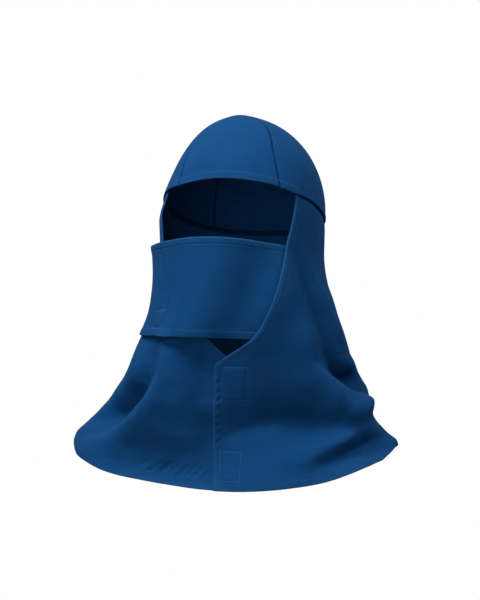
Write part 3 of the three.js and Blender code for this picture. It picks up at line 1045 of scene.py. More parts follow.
@dataclass(frozen=True)
class HookLoopFinish:
    """Hook-and-loop tape in the cloth's blue: a matt field of tiny loops; lengths in mm."""

    name: str = "blue_hook_loop"
    deep: Colour = (0.006, 0.04, 0.12, 1)
    pale: Colour = (0.012, 0.07, 0.2, 1)
    loop: float = 0.7
    roughness: float = 0.95
    roughness_range: float = 0.1
    bump: float = 0.7
    bump_depth: float = 0.3

    def make(self) -> bpy.types.Material:
        """Build the material: a cell for each loop, raised and paler in its middle.

        Returns:
            The material.
        """
        shader = Shader(self.name)
        place = shader.add("ShaderNodeTexCoord").outputs["Object"]
        sizes = {"Vector": place, "Scale": 1 / (self.loop * MM)}
        cells = shader.add("ShaderNodeTexVoronoi", {"feature": "F1"}, sizes)
        loop = 1 - shader.value(cells, "Distance")
        return shader.finish(
            Base_Color=shader.blend(loop, self.deep, self.pale),
            Roughness=self.roughness - loop * self.roughness_range,
            Normal=shader.bump(loop, self.bump, self.bump_depth),
        )


@dataclass(frozen=True)
class FloorFinish:
    """Pale matt studio floor."""

    name: str = "pale_floor"
    deep: Colour = (0.8, 0.8, 0.8, 1)
    pale: Colour = (0.86, 0.86, 0.86, 1)
    dark: Colour = (0, 0, 0, 1)
    glow: float = 0.6
    cloud: float = 3.0
    roughness: float = 0.8

    def make(self) -> bpy.types.Material:
        """Build the material: a faint cloudy white that looks lit all over but lights nothing.

        Returns:
            The material.
        """
        shader = Shader(self.name)
        place = shader.add("ShaderNodeTexCoord").outputs["Object"]
        sizes = {"Vector": place, "Scale": self.cloud, "Detail": 2.0}
        noise = shader.add("ShaderNodeTexNoise", None, sizes)
        cloud = shader.value(noise, "Fac")
        seen = shader.value(shader.add("ShaderNodeLightPath"), "Is Camera Ray")
        return shader.finish(
            Base_Color=shader.blend(cloud, self.deep, self.pale),
            Roughness=self.roughness,
            Emission_Color=shader.blend(seen, self.dark, self.pale),
            Emission_Strength=self.glow,
        )


@dataclass(frozen=True)
class Finishes:
    """Every finish of the hood, made once."""

    twill: bpy.types.Material
    thread: bpy.types.Material
    hook_loop: bpy.types.Material
    floor: bpy.types.Material

    @classmethod
    def make(cls) -> Finishes:
        """Build every material."""
        kinds = (TwillFinish, ThreadFinish, HookLoopFinish, FloorFinish)
        return cls(*(kind().make() for kind in kinds))


@dataclass(frozen=True)
class CutPiece:
    """The flat cut of a cloth piece, in metres, and how it is held."""

    width: float
    length: float
    area: float
    hold: Hold

    def declare(self, piece: bpy.types.Object, rests_on: Sequence[str]) -> None:
        """Does nothing; the cut of a finished piece is not stated.

        Args:
            piece: The piece; not used.
            rests_on: Names of what it hangs from or lies on; not used.
        """


def settle(piece: bpy.types.Object, material: bpy.types.Material, slot: Slot, *nodes: str) -> None:
    """Dress a piece and set it in the frame.

    Args:
        piece: The piece.
        material: Its finish.
        slot: The record's slot that the finish stands for; not used.
        nodes: Nodes that the piece stands for.
    """
    piece.data.materials.clear()
    piece.data.materials.append(material)
    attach(piece, BODY)
    if nodes:
        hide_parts(*nodes)
    LOG.info("%s: %d faces", piece.name, len(piece.data.polygons))


@dataclass
class Crown:
    """The skull cap: four gores that meet at its top, with a stitched hem over the face; mm and degrees."""

    form: HoodForm
    columns: int = 64
    rows: int = 76
    row_steps: int = 200
    under: float = 1.45
    under_past: float = 0.5
    seam_dip: float = 1.0
    seam_width: float = 2.4
    seam_lip: float = 1.5
    rim_roll: float = 0.5
    rim_roll_from: float = 7.0
    rim_roll_full: float = 1.5
    hem_clear: float = 11.0
    hem_gone: float = 1.5
    hem_full: float = 0.5
    reach_polar: float = 88.0
    reach_oval: float = 1.08
    reach_least: float = 0.45
    tip_left: float = 0.06
    stitches: list[Array] = field(default_factory=list)

    FAR = 50.0
    STEPS = (0.05, 0.001)
    SEAM_STOPS = (0.0, 0.4, 0.9, 1.6, 2.5, 3.6, 5.0)
    HEM_STOPS = (0.0, 0.5, 1.4, 2.8, 4.2, 5.4, 6.2, 6.7, 7.0, 7.3, 7.8, 8.6, 10.0)
    CUTS = {
        Gore.FRONT: CutPiece(0.15, 0.125, 0.0105, Hold.STRETCHED),
        Gore.LEFT: CutPiece(0.165, 0.17, 0.0152, Hold.STRETCHED),
        Gore.BACK: CutPiece(0.17, 0.19, 0.0166, Hold.STRETCHED),
        Gore.RIGHT: CutPiece(0.165, 0.17, 0.0158, Hold.STRETCHED),
    }

    def front_left(self, share: Array) -> Array:
        """Turn of the front seam on the wearer's left."""
        return self.form.front_seam.at("left", share)

    def front_right(self, share: Array) -> Array:
        """Turn of the front seam on the wearer's right."""
        return -self.form.front_seam.at("right", share)

    def back_left(self, share: Array) -> Array:
        """Turn of the back seam on the wearer's left."""
        return np.full_like(share, self.form.back_seam)

    def back_right(self, share: Array) -> Array:
        """Turn of the back seam on the wearer's right."""
        return np.full_like(share, 360 - self.form.back_seam)

    def right_end(self, share: Array) -> Array:
        """Turn of the front seam on the wearer's right, after a whole turn."""
        return 360 + self.front_right(share)

    def reach(self, share: Array) -> Array:
        """Millimetres to a degree of turn, at a share of the way to the rim."""
        polar = np.radians(mix(self.form.tip_polar, self.reach_polar, np.clip(share, 0, 1)))
        return np.radians(self.form.cap_half_width * np.sin(polar) * self.reach_oval)

    def tip_share(self, turn: Array) -> Array:
        """Shares, a little under 0, at which a gore meets the others in the middle of the cap's top."""
        tip = self.form.tip_polar
        return -(tip - self.tip_left) / (self.form.rim_polar(turn) - tip)

    def over_face(self, turn: Array) -> Array:
        """Find where the rim is hemmed.

        Args:
            turn: Turns round the head.

        Returns:
            Shares of hem: 1 over the face and 0 where the cape is sewn on.
        """
        turn = wrapped(turn)
        left, right = self.form.cape.at("left_edge", 0), self.form.cape.at("right_edge", 0)
        on_left = smooth(turn, left + self.hem_gone, left + self.hem_full)
        return on_left * smooth(turn, right - self.hem_gone, right - self.hem_full)

    def rim_away(self, turn: Array, share: Array) -> Array:
        """Distance from the rim in mm."""
        return (1 - share) * np.radians(self.form.rim_polar(turn)) * self.form.cap_height

    def build(self, finishes: Finishes) -> None:
        """Make the four gores and their stitch rows.

        Args:
            finishes: The hood's materials.
        """
        gores = (
            (Gore.FRONT, self.front_right, self.front_left, True),
            (Gore.LEFT, self.front_left, self.back_left, False),
            (Gore.BACK, self.back_left, self.back_right, True),
            (Gore.RIGHT, self.back_right, self.right_end, False),
        )
        for gore, start, end, lower in gores:
            self._gore(Seams(self, start, end, lower), gore, finishes)

    def _gore(self, seams: Seams, gore: Gore, finishes: Finishes) -> None:
        """Make one gore.

        Args:
            seams: The gore between its two seams.
            gore: Which gore it is.
            finishes: The hood's materials.
        """
        name = f"{gore.name.lower()}_gore"
        sheet = ClothSheet(name, self.form.gore_point, seams.outside, seams.inside, self.STEPS)
        turn, share = self._grid(seams)
        rim = np.where(self.over_face(turn) > 0.5, self.rim_away(turn, share), self.FAR)
        # The distance from each seam sets the shade painted along the gore seams.
        piece = sheet.build(turn, share, rim, np.abs(seams.beyond(turn, share)))
        settle(piece, finishes.twill, Slot.BLUE_CLOTH, gore.value)
        self.CUTS[gore].declare(piece, ["cape"])
        self._rows(sheet, seams)

    def _grid(self, seams: Seams) -> tuple[Array, Array]:
        """Lay out one gore, closer near its seams and its hem; the lower gores run on under the others.

        Args:
            seams: The gore between its two seams.

        Returns:
            Grids of turns and of shares of the way to the rim.
        """
        fall = self.rim_away(np.array(0.0), np.array(0.0))
        plain = np.linspace(0, 1 - self.hem_clear / fall, self.rows)
        share = np.concatenate([[0.0], plain, 1 - np.array(self.HEM_STOPS[::-1]) / fall])[:, None]
        stops = np.array(self.SEAM_STOPS)
        more = stops[1:] if seams.lower else stops[:0]
        reach = np.maximum(self.reach(share), self.reach_least)
        first, last = seams.start(share), seams.end(share)
        inner = np.linspace(0, 1, self.columns + 2)[None, 1:-1]
        turn = np.concatenate(
            [
                first - more[::-1] / reach,
                first + stops / reach,
                mix(first + stops[-1] / reach, last - stops[-1] / reach, inner),
                last - stops[::-1] / reach,
                last + more / reach,
            ],
            axis=1,
        )
        share = np.broadcast_to(share, turn.shape).copy()
        share[0] = self.tip_share(turn[0])
        return turn, share

    def _rows(self, sheet: ClothSheet, seams: Seams) -> None:
        """Lay the stitch row of one gore along its share of the hem over the face.

        Args:
            sheet: The gore's sheet.
            seams: The gore between its two seams.
        """
        one = np.array([1.0])
        first, last = float(seams.start(one)[0]), float(seams.end(one)[0])
        left, right = float(self.form.cape.at("left_edge", 0)), float(self.form.cape.at("right_edge", 0))
        low = max(first, right + (360 if first > 180 else 0))
        high = min(last, left) if last < 180 else last
        if self.over_face(np.array((low + high) / 2)) > 0.5 and high > low:
            turn = np.linspace(low, high, self.row_steps)
            share = 1 - self.form.hem.stitch / self.rim_away(turn, np.zeros_like(turn))
            self.stitches.append(sheet.on_top(turn, share))


@dataclass
class Seams:
    """The cloth of one gore between its two seams, each a turn by the share of the way to the rim."""

    crown: Crown
    start: Callable[[Array], Array]
    end: Callable[[Array], Array]
    lower: bool
    tip_crease: Fold = Fold(
        "tip crease",
        ((-14, 0.375, 0.4), (15, 0.33, 0.8), (42, 0.355, 0.4)),
        over=1.6,
        under=3.2,
        power=2.0,
        soft=0.5,
        across=0.8,
        down=110,
    )

    def beyond(self, turn: Array, share: Array) -> Array:
        """Distance in mm past the nearer seam, under 0 between the seams."""
        return np.maximum(self.start(share) - turn, turn - self.end(share)) * self.crown.reach(share)

    def half(self, turn: Array, share: Array) -> Array:
        """Half the thickness of the cloth, which is more in the hem over the face."""
        hemmed = self.crown.form.hem.half(self.crown.rim_away(turn, share))
        return mix(self.crown.form.cloth / 2, hemmed, self.crown.over_face(turn))

    def tucked(self, turn: Array, share: Array) -> Array:
        """How far the edges of a lower gore lie under its neighbours."""
        seam = self.beyond(turn, share)
        return self.crown.under * smooth(seam, -self.crown.seam_lip, self.crown.under_past)

    def outside(self, turn: Array, share: Array) -> Array:
        """Find the offset of the outer side.

        Args:
            turn: Turns round the head.
            share: Shares of the way to the rim.

        Returns:
            The offset: the hem over the face, and edges that dip into or under the seams.
        """
        crown = self.crown
        rim, face = crown.rim_away(turn, share), crown.over_face(turn)
        if self.lower:
            dip = self.tucked(turn, share)
        else:
            dip = crown.seam_dip * smooth(self.beyond(turn, share), -crown.seam_width, 0)
        sewn = crown.rim_roll * smooth(rim, crown.rim_roll_from, crown.rim_roll_full) * (1 - face)
        crease = self.tip_crease.rise(wrapped(turn), share)
        return self.half(turn, share) + crown.form.hem.relief(rim) * face + sewn + crease - dip

    def inside(self, turn: Array, share: Array) -> Array:
        """Offset of the inner side."""
        half = self.half(turn, share)
        return half + self.tucked(turn, share) if self.lower else half


@dataclass
class Cape:
    """The shoulder cape: one cloth sewn round the cap, lapped in front, with hems on its free edges; mm."""

    form: HoodForm
    allowance: float = 5.0
    allowance_rows: int = 4
    columns: int = 232
    upper_rows: int = 66
    lower_rows: int = 98
    rows_part: float = 0.54
    crowd: float = 0.72
    fall_about: float = 300.0
    hem_clear: float = 12.0
    seam_dip: float = 1.1
    seam_width: float = 4.0
    row_start: float = 0.012
    corner: float = 0.99
    edge_row_steps: int = 420
    hem_row_steps: int = 900
    hem_row_span: tuple[float, float] = (-3.0, 368.0)
    patches: tuple[Patch, ...] = (Patch(7.0, 32.5, 255.0, 289.3), Patch(6.1, 26.8, 343.5, 372.8))
    placket_gathers: Gathers = Gathers(268.0, 340.0, 2.2, 9.0, 8.8, 0.5, 1.3)
    hem_gathers: Gathers = Gathers(44.0, 112.0, 8.4, 25.0, 8.9, 1.0, 3.6)
    stitches: list[Array] = field(default_factory=list)

    STEPS = (0.05, 0.0004)
    PLACE_ROUNDS = 4
    CUT = CutPiece(0.78, 0.34, 0.172, Hold.DRAPED)
    SEWN_TO = ("crown_side_panel_left", "crown_side_panel_right", "crown_back_panel")

    def left_edge(self, level: Array | float) -> Array:
        """Turn of the left front edge."""
        return self.form.cape.at("left_edge", level)

    def right_edge(self, level: Array | float) -> Array:
        """Turn of the right front edge, after the way round the nape."""
        return 360 + self.form.cape.at("right_edge", level)

    def from_left(self, turn: Array, level: Array) -> Array:
        """Distance in mm from the left front edge."""
        return (turn - self.left_edge(level)) * self.form.girth(turn, level)

    def from_right(self, turn: Array, level: Array) -> Array:
        """Distance in mm from the right front edge."""
        return (self.right_edge(level) - turn) * self.form.girth(turn, level)

    def from_hem(self, turn: Array, level: Array) -> Array:
        """Distance in mm from the bottom."""
        return (1 - level) * self.form.fall(turn)

    def edge_away(self, turn: Array, level: Array) -> Array:
        """Distance in mm from the nearest free edge."""
        fronts = np.minimum(self.from_left(turn, level), self.from_right(turn, level))
        return np.maximum(np.minimum(fronts, self.from_hem(turn, level)), 0)

    def surface(self, turn: Array, level: Array) -> Array:
        """Find points of the cape.

        Args:
            turn: Turns from the left edge round the nape to the right edge.
            level: Levels from the rim to the hem.

        Returns:
            The points, with the left front over the right one.
        """
        lapped = 1 - smooth(np.minimum(turn, 360 - turn), self.form.lap_full, self.form.lap_gone)
        layer = np.where(turn < 180, 0.5, -0.5) * self.form.lap_rise
        return self.form.cape_point(turn, level, layer * lapped)

    def drop(self, turn: Array, level: Array) -> Array:
        """Drop in mm below the top of the cap."""
        return self.form.rims.at("rim", wrapped(turn)) + self.form.gap + level * self.form.fall(turn)

    def sewn(self, turn: Array, level: Array) -> Array:
        """Find the small reliefs that both sides share.

        Args:
            turn: Turns round the head.
            level: Levels from the rim to the hem.

        Returns:
            The relief: the seam under the cap's rim, and the puckers of the hem and of the placket.
        """
        below = np.maximum(level, 0) * self.form.fall(turn)
        seam = self.seam_dip * np.exp(-((below / self.seam_width) ** 2))
        left = self.placket_gathers.relief(self.drop(turn, level), self.from_left(turn, level))
        right = self.hem_gathers.relief(self.from_right(turn, level), self.from_hem(turn, level))
        return np.where(turn < 180, left, right) - seam

    def outside(self, turn: Array, level: Array) -> Array:
        """Find the offset of the outer side.

        Args:
            turn: Turns round the head.
            level: Levels from the rim to the hem.

        Returns:
            The offset: hem rolls, stitch grooves, stitched squares and small puckers.
        """
        away = self.edge_away(turn, level)
        across, down = self.from_left(turn, level), self.drop(turn, level)
        squares = sum(patch.relief(across, down) for patch in self.patches)
        relief = self.form.hem.relief(away) + np.where(turn < 180, squares, 0.0)
        return self.form.hem.half(away) + relief + self.sewn(turn, level)

    def inside(self, turn: Array, level: Array) -> Array:
        """Offset of the inner side."""
        return self.form.hem.half(self.edge_away(turn, level)) - self.sewn(turn, level)

    def build(self, finishes: Finishes) -> None:
        """Make the cape and its stitch rows.

        Args:
            finishes: The hood's materials.
        """
        sheet = ClothSheet("cape_cloth", self.surface, self.outside, self.inside, self.STEPS)
        turn, level = self._grid()
        away = self.edge_away(turn, level)
        # Shade is painted just under the cap's rim and along the hem's stitch lines.
        seam = np.minimum(np.maximum(level, 0) * self.form.fall(turn), self.form.hem.from_stitch(away))
        piece = sheet.build(turn, level, away, seam)
        settle(piece, finishes.twill, Slot.BLUE_CLOTH, "cape")
        self.CUT.declare(piece, self.SEWN_TO)
        self._rows(sheet)

    def _grid(self) -> tuple[Array, Array]:
        """Lay out the cape, closer near its free edges and in front.

        Returns:
            Grids of turns and of levels.
        """
        stops, fall = np.array(self.form.hem.STOPS), self.fall_about
        levels = np.concatenate(
            [
                np.linspace(-self.allowance, -1, self.allowance_rows) / fall,
                np.linspace(0, self.rows_part, self.upper_rows, endpoint=False),
                np.linspace(self.rows_part, 1 - self.hem_clear / fall, self.lower_rows),
                1 - stops[::-1] / fall,
            ]
        )[:, None]
        left, right = self.left_edge(levels), self.right_edge(levels)
        left_stops = left + stops / self.form.girth(left, levels)
        right_stops = right - stops[::-1] / self.form.girth(right, levels)
        share = np.linspace(0, 1, self.columns + 2)[None, 1:-1]
        eased = share - self.crowd * np.sin(2 * np.pi * share) / (2 * np.pi)
        middle = mix(left_stops[:, -1:], right_stops[:, :1], eased)
        turn = np.concatenate([left_stops, middle, right_stops], axis=1)
        return turn, np.broadcast_to(levels, turn.shape).copy()

    def _rows(self, sheet: ClothSheet) -> None:
        """Lay the stitch rows along the free edges, as far as the corners, and round the squares.

        Args:
            sheet: The cape's sheet.
        """
        inset = self.form.hem.stitch
        level = np.linspace(self.row_start, 1 - inset / self.fall_about, self.edge_row_steps)
        for side, edge in ((1, self.left_edge(level)), (-1, self.right_edge(level))):
            self.stitches.append(sheet.on_top(edge + side * inset / self.form.girth(edge, level), level))
        start, end = self.left_edge(self.corner), self.right_edge(self.corner)
        short = inset / self.form.girth(np.array(0.0), np.array(1.0))
        turn = np.linspace(start + short, end - short, self.hem_row_steps)
        falls = self.form.fall(np.linspace(*self.hem_row_span, self.hem_row_steps))
        self.stitches.append(sheet.on_top(turn, 1 - inset / falls))
        for patch in self.patches:
            self.stitches.append(sheet.on_top(*self._places(*patch.outline())))

    def _places(self, across: Array, down: Array) -> tuple[Array, Array]:
        """Find turns and levels of the left front by distances from its edge and drops.

        Args:
            across: Distances from the left front edge, in mm.
            down: Drops below the top of the cap, in mm.

        Returns:
            The turns and levels.
        """
        turn = np.zeros_like(across)
        for _ in range(self.PLACE_ROUNDS):
            level = self.form.level_at(turn, down)
            turn = self.left_edge(level) + across / self.form.girth(turn, level)
        return turn, self.form.level_at(turn, down)


@dataclass
class FaceMask:
    """The mask panel across nose and chin, hemmed along its top and bottom."""

    form: HoodForm
    bare_from: float = -22.0
    bare_to: float = -8.0
    tuck_from: float = 44.0
    tuck_to: float = 2.0
    end_deeper: float = 3.0
    end_over: float = 30.0
    columns: int = 170
    rows: int = 62
    row_steps: int = 400
    height_about: float = 98.0
    free_end: float = -94.0
    tucked_end: float = 58.0
    row_short: float = 1.0
    lay: Table = Table(
        "turn top_off mid_off bottom_off top bottom",
        (-94, 6, 4.5, 3.5, 140, 229),
        (-76, 9.5, 4.2, 2.4, 136, 228),
        (-60, 7, 4.5, 4.8, 133, 227),
        (-34, 8.5, 5, 7.5, 128, 225),
        (-14, 10.5, 11, 17, 124, 224),
        (8, 9.5, 12.5, 19, 124, 225),
        (35, 5, 6, 9, 130, 228),
        (58, 3, 3, 3, 135, 230),
    )
    girth: float = 1.85
    patch: Patch = Patch(-89.0, -65.0, 69.5, 87.0, 0.0)
    creases: tuple[Fold, ...] = (
        Fold(
            "strip edge",
            ((-41, 0.06, 0.5), (-38, 0.2, 1.1), (-36, 0.4, 1.5), (-34, 0.6, 1.4), (-36, 0.8, 0.5)),
            over=1.6,
            under=3.2,
            power=2.0,
            soft=0.5,
            across=1.85,
            down=97,
        ),
        Fold(
            "beside the strip",
            ((-47, 0.05, -1.0), (-44, 0.22, -2.0), (-42, 0.42, -2.4), (-41, 0.62, -1.6), (-42, 0.78, -0.3)),
            over=4.0,
            under=4.0,
            power=2.0,
            soft=0.8,
            across=1.85,
            down=97,
        ),
    )
    stitches: list[Array] = field(default_factory=list)

    CUT = CutPiece(0.27, 0.105, 0.0264, Hold.DRAPED)
    STEPS = (0.05, 0.001)

    def height(self, turn: Array) -> Array:
        """Height of the panel at a turn."""
        return self.lay.at("bottom", turn) - self.lay.at("top", turn)

    def surface(self, turn: Array, share: Array) -> Array:
        """Find points of the mask.

        Args:
            turn: Turns from its free end to its tucked end.
            share: Shares of the way from its top to its bottom.

        Returns:
            The points.
        """
        form = self.form
        drop = mix(self.lay.at("top", turn), self.lay.at("bottom", turn), share)
        level = form.level_at(turn, drop)
        top, middle, bottom = (self.lay.at(name, turn) for name in ("top_off", "mid_off", "bottom_off"))
        stand = top * (1 - share) * (1 - 2 * share) + 4 * middle * share * (1 - share)
        stand = stand + bottom * share * (2 * share - 1)
        stand = stand - form.fold_rise(turn, level) * smooth(turn, self.bare_from, self.bare_to)
        edge = form.cape.at("left_edge", level)
        tucked = smooth(turn - edge, -self.tuck_from, -self.tuck_to)
        deeper = self.end_deeper * smooth(turn - edge, 0, self.end_over)
        crease = sum(fold.rise(turn, share) for fold in self.creases)
        return form.cape_point(turn, level, mix(stand + crease, -form.tuck, tucked) - deeper)

    def edge_away(self, turn: Array, share: Array) -> Array:
        """Distance in mm from the panel's top or bottom."""
        return np.clip(np.minimum(share, 1 - share), 0, 1) * self.height(turn)

    def outside(self, turn: Array, share: Array) -> Array:
        """Find the offset of the outer side.

        Args:
            turn: Turns round the head.
            share: Shares of the way from top to bottom.

        Returns:
            The offset: hem rolls, stitch grooves and the stitched square.
        """
        away = self.edge_away(turn, share)
        square = self.patch.relief(turn * self.girth, share * self.height(turn))
        return self.form.hem.half(away) + self.form.hem.relief(away) + square

    def inside(self, turn: Array, share: Array) -> Array:
        """Offset of the inner side."""
        return self.form.hem.half(self.edge_away(turn, share))

    def build(self, finishes: Finishes) -> None:
        """Make the mask and its stitch rows.

        Args:
            finishes: The hood's materials.
        """
        sheet = ClothSheet("face_mask_cloth", self.surface, self.outside, self.inside, self.STEPS)
        stops = np.array(self.form.hem.STOPS) / self.height_about
        plain = np.linspace(stops[-1], 1 - stops[-1], self.rows + 2)[1:-1]
        shares = np.concatenate([stops, plain, 1 - stops[::-1]])
        turn, share = np.meshgrid(np.linspace(self.free_end, self.tucked_end, self.columns), shares)
        away = self.edge_away(turn, share)
        # Seam distances start a hem's width out, so no shade is painted on the mask.
        piece = sheet.build(turn, share, away, away + self.form.hem.width)
        settle(piece, finishes.twill, Slot.BLUE_CLOTH, "face_mask")
        self.CUT.declare(piece, ["cape"])
        row = np.linspace(self.free_end + self.row_short, self.tucked_end - self.row_short, self.row_steps)
        inset = self.form.hem.stitch / self.height(row)
        across, down = self.patch.outline()
        around = across / self.girth
        for turn, share in ((row, inset), (row, 1 - inset), (around, down / self.height(around))):
            self.stitches.append(sheet.on_top(turn, share))


@dataclass
class Closures:
    """The hook-and-loop tabs in the lap and under the mask."""

    names: tuple[str, ...] = ("closure_tab_upper", "closure_tab_lower", "mask_tab")

    def build(self, nodes: dict[str, bpy.types.Object], finishes: Finishes) -> None:
        """Dress the tabs.

        Args:
            nodes: The frame's nodes by name.
            finishes: The hood's materials.
        """
        for name in self.names:
            tab = nodes[name]
            tab.data.materials.clear()
            tab.data.materials.append(finishes.hook_loop)
            LOG.info("%s: dressed as %s", name, Slot.HOOK_LOOP.value)


@dataclass
class Stitching:
    """Machine stitches laid along every sewn line by one node tree; sizes in mm."""

    pitch: float = 3.0
    length: float = 2.3
    thickness: float = 0.6
    shortest: float = 0.86
    longest: float = 1.08
    seed: int = 7

    SOCKETS = (
        ("Geometry", "INPUT", "Geometry"),
        ("Pitch", "INPUT", "Float"),
        ("Length", "INPUT", "Float"),
        ("Thickness", "INPUT", "Float"),
        ("Seed", "INPUT", "Int"),
        ("Geometry", "OUTPUT", "Geometry"),
    )
    BEAD = {"Segments": 6, "Rings": 4, "Radius": 0.5}

    def tree(self, material: bpy.types.Material) -> bpy.types.NodeTree:
        """Build the node tree that sets a stitch at every pitch of a path.

        Args:
            material: The thread's finish.

        Returns:
            The node tree.
        """
        tree = bpy.data.node_groups.new("stitch_rows", "GeometryNodeTree")
        for name, way, kind in self.SOCKETS:
            tree.interface.new_socket(name, in_out=way, socket_type=f"NodeSocket{kind}")
        given = add_node(tree, "NodeGroupInput").outputs
        curve = add_node(tree, "GeometryNodeMeshToCurve", None, {"Mesh": given["Geometry"]})
        steps = {"Curve": curve.outputs["Curve"], "Length": given["Pitch"]}
        spaced = add_node(tree, "GeometryNodeResampleCurve", {"mode": "LENGTH"}, steps)
        ahead = {"Vector": add_node(tree, "GeometryNodeInputTangent").outputs[0]}
        turned = add_node(tree, "FunctionNodeAlignRotationToVector", {"axis": "X"}, ahead)
        bead = add_node(tree, "GeometryNodeMeshUVSphere", None, self.BEAD)
        spread = {2: self.shortest, 3: self.longest, "Seed": given["Seed"]}
        varied = add_node(tree, "FunctionNodeRandomValue", {"data_type": "FLOAT"}, spread)
        factors = {0: varied.outputs[1], 1: given["Length"]}
        long = add_node(tree, "ShaderNodeMath", {"operation": "MULTIPLY"}, factors)
        sides = {"X": long.outputs[0], "Y": given["Thickness"], "Z": given["Thickness"]}
        size = add_node(tree, "ShaderNodeCombineXYZ", None, sides)
        laid = {
            "Points": spaced.outputs["Curve"],
            "Instance": bead.outputs["Mesh"],
            "Rotation": turned.outputs["Rotation"],
            "Scale": size.outputs[0],
        }
        placed = add_node(tree, "GeometryNodeInstanceOnPoints", None, laid)
        real = add_node(tree, "GeometryNodeRealizeInstances", None, {"Geometry": placed.outputs["Instances"]})
        rounded = add_node(tree, "GeometryNodeSetShadeSmooth", None, {"Geometry": real.outputs["Geometry"]})
        dress = {"Geometry": rounded.outputs["Geometry"], "Material": material}
        dressed = add_node(tree, "GeometryNodeSetMaterial", None, dress)
        add_node(tree, "NodeGroupOutput", None, {"Geometry": dressed.outputs["Geometry"]})
        return tree

    def build(self, paths: Sequence[Array], finishes: Finishes) -> None:
        """Sew every path and keep the stitches as one plain mesh.

        Args:
            paths: Points of each sewn line, in metres.
            finishes: The hood's materials.
        """
        starts = np.cumsum([0, *(len(path) for path in paths)]).tolist()
        edges = [(i, i + 1) for start, end in zip(starts, starts[1:]) for i in range(start, end - 1)]
        lines = bpy.data.meshes.new("stitch_lines")
        lines.from_pydata(np.concatenate(paths).tolist(), edges, [])
        guide = bpy.data.objects.new("stitch_lines", lines)
        bpy.context.scene.collection.objects.link(guide)
        sewn = guide.modifiers.new("stitch_rows", "NODES")
        sewn.node_group = self.tree(finishes.thread)
        sizes = {
            "Pitch": self.pitch * MM,
            "Length": self.length * MM,
            "Thickness": self.thickness * MM,
            "Seed": self.seed,
        }
        for socket in sewn.node_group.interface.items_tree:
            if socket.in_out == "INPUT" and socket.name in sizes:
                sewn[socket.identifier] = sizes[socket.name]
        seen = guide.evaluated_get(bpy.context.evaluated_depsgraph_get())
        mesh = bpy.data.meshes.new_from_object(seen)
        mesh.name = "stitching"
        guide.modifiers.remove(sewn)
        bpy.data.objects.remove(guide)
        piece = bpy.data.objects.new("stitching", mesh)
        bpy.context.scene.collection.objects.link(piece)
        settle(piece, finishes.thread, Slot.BLUE_CLOTH)


@dataclass(frozen=True)
class Lamp:
    """A soft square light; its direction is given as shares to the right, up and towards the camera."""

    name: str
    way: Point
    distance: float
    size: float
    power: float


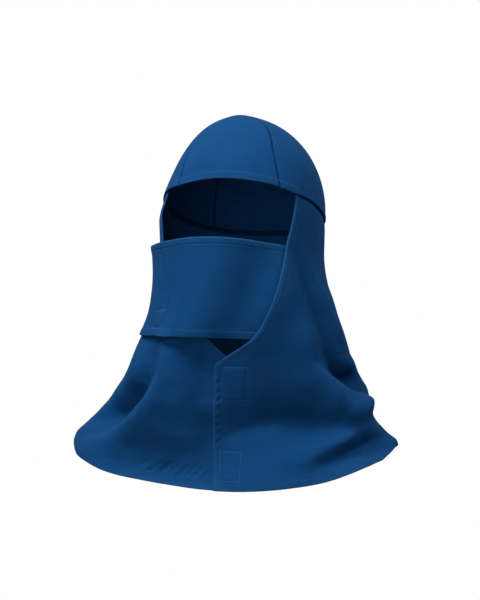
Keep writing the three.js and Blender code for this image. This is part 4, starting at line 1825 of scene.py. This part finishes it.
@dataclass
class Studio:
    """Pale floor, soft light and the camera; sizes in metres and degrees."""

    target: Point = (0.0, 0.0, -0.193)
    azimuth: float = 16.0
    elevation: float = 3.0
    distance: float = 2.2
    metres_per_pixel: float = 0.00105
    image_height: int = 600
    shift_right: float = -0.0037
    shift_up: float = 0.0019
    sensor: float = 36.0
    floor_drop: float = 2.2
    floor_radius: float = 2.2
    floor_corners: int = 96
    white: Colour = (1, 1, 1, 1)
    ambient: float = 0.05
    lamps: tuple[Lamp, ...] = (
        Lamp("key", (-0.7, 1.15, 0.7), 1.6, 0.6, 21.5),
        Lamp("fill", (-0.3, 0.15, 1.0), 2.0, 1.2, 12.0),
        Lamp("right", (1.0, 1.0, 0.15), 1.7, 0.8, 12.0),
        Lamp("back_left", (0.7, 0.7, -1.0), 2.0, 1.0, 7.0),
        Lamp("back_right", (-0.8, 0.7, -1.0), 2.0, 1.0, 9.0),
    )

    def axes(self) -> tuple[Vector, Vector, Vector]:
        """Find the picture's directions.

        Returns:
            Directions to the right of the picture, up it, and out of it towards the camera.
        """
        turn, rise = math.radians(self.azimuth), math.radians(self.elevation)
        right = Vector((math.cos(turn), math.sin(turn), 0))
        level = math.cos(rise)
        toward = Vector((math.sin(turn) * level, -math.cos(turn) * level, math.sin(rise)))
        return right, toward.cross(right), toward

    def build(self, finishes: Finishes) -> None:
        """Make the camera, the floor, the lights and the white surroundings.

        Args:
            finishes: The materials.
        """
        self._camera()
        self._floor(finishes)
        for lamp in self.lamps:
            self._light(lamp)
        self._surroundings()

    def _camera(self) -> None:
        """Aim the camera and set its lens."""
        right, up, toward = self.axes()
        aim = Vector(self.target) + right * self.shift_right + up * self.shift_up
        lens = bpy.data.cameras.new("camera")
        lens.sensor_width = self.sensor
        lens.lens = self.sensor * self.distance / (self.metres_per_pixel * self.image_height)
        camera = bpy.data.objects.new("camera", lens)
        camera.location = aim + toward * self.distance
        camera.rotation_euler = toward.to_track_quat("Z", "Y").to_euler()
        bpy.context.scene.collection.objects.link(camera)
        bpy.context.scene.camera = camera

    def _floor(self, finishes: Finishes) -> None:
        """Lay the floor.

        Args:
            finishes: The materials.
        """
        bpy.ops.mesh.primitive_circle_add(
            vertices=self.floor_corners,
            radius=self.floor_radius,
            fill_type="NGON",
            location=(0, 0, -self.floor_drop),
        )
        floor = bpy.context.object
        floor.name = "floor"
        floor.data.materials.append(finishes.floor)

    def _light(self, lamp: Lamp) -> None:
        """Hang one soft light.

        Args:
            lamp: The light.
        """
        out = sum((axis * share for axis, share in zip(self.axes(), lamp.way)), Vector()).normalized()
        panel = bpy.data.lights.new(lamp.name, "AREA")
        panel.size = lamp.size
        panel.energy = lamp.power
        light = bpy.data.objects.new(lamp.name, panel)
        light.location = Vector(self.target) + out * lamp.distance
        light.rotation_euler = out.to_track_quat("Z", "Y").to_euler()
        bpy.context.scene.collection.objects.link(light)

    def _surroundings(self) -> None:
        """Set white surroundings to look at, and a dimmer soft light from all round."""
        world = bpy.data.worlds.new("surroundings")
        bpy.context.scene.world = world
        world.use_nodes = True
        tree = world.node_tree
        tree.nodes.clear()
        backs = ({"Color": self.white, "Strength": strength} for strength in (1.0, self.ambient))
        seen, soft = (add_node(tree, "ShaderNodeBackground", None, back).outputs[0] for back in backs)
        camera = add_node(tree, "ShaderNodeLightPath").outputs["Is Camera Ray"]
        either = add_node(tree, "ShaderNodeMixShader", None, {0: camera, 1: soft, 2: seen})
        add_node(tree, "ShaderNodeOutputWorld", None, {"Surface": either.outputs[0]})
        bpy.context.scene.view_settings.view_transform = "Standard"


def main() -> None:
    """Build every piece in order."""
    logging.basicConfig(level=logging.INFO, format="%(name)s %(message)s")
    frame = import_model()
    finishes = Finishes.make()
    form = HoodForm()
    crown, cape, mask = Crown(form), Cape(form), FaceMask(form)
    crown.build(finishes)
    cape.build(finishes)
    mask.build(finishes)
    Closures().build(frame["nodes"], finishes)
    Stitching().build([*crown.stitches, *cape.stitches, *mask.stitches], finishes)
    Studio().build(finishes)


if __name__ == "__main__":
    main()
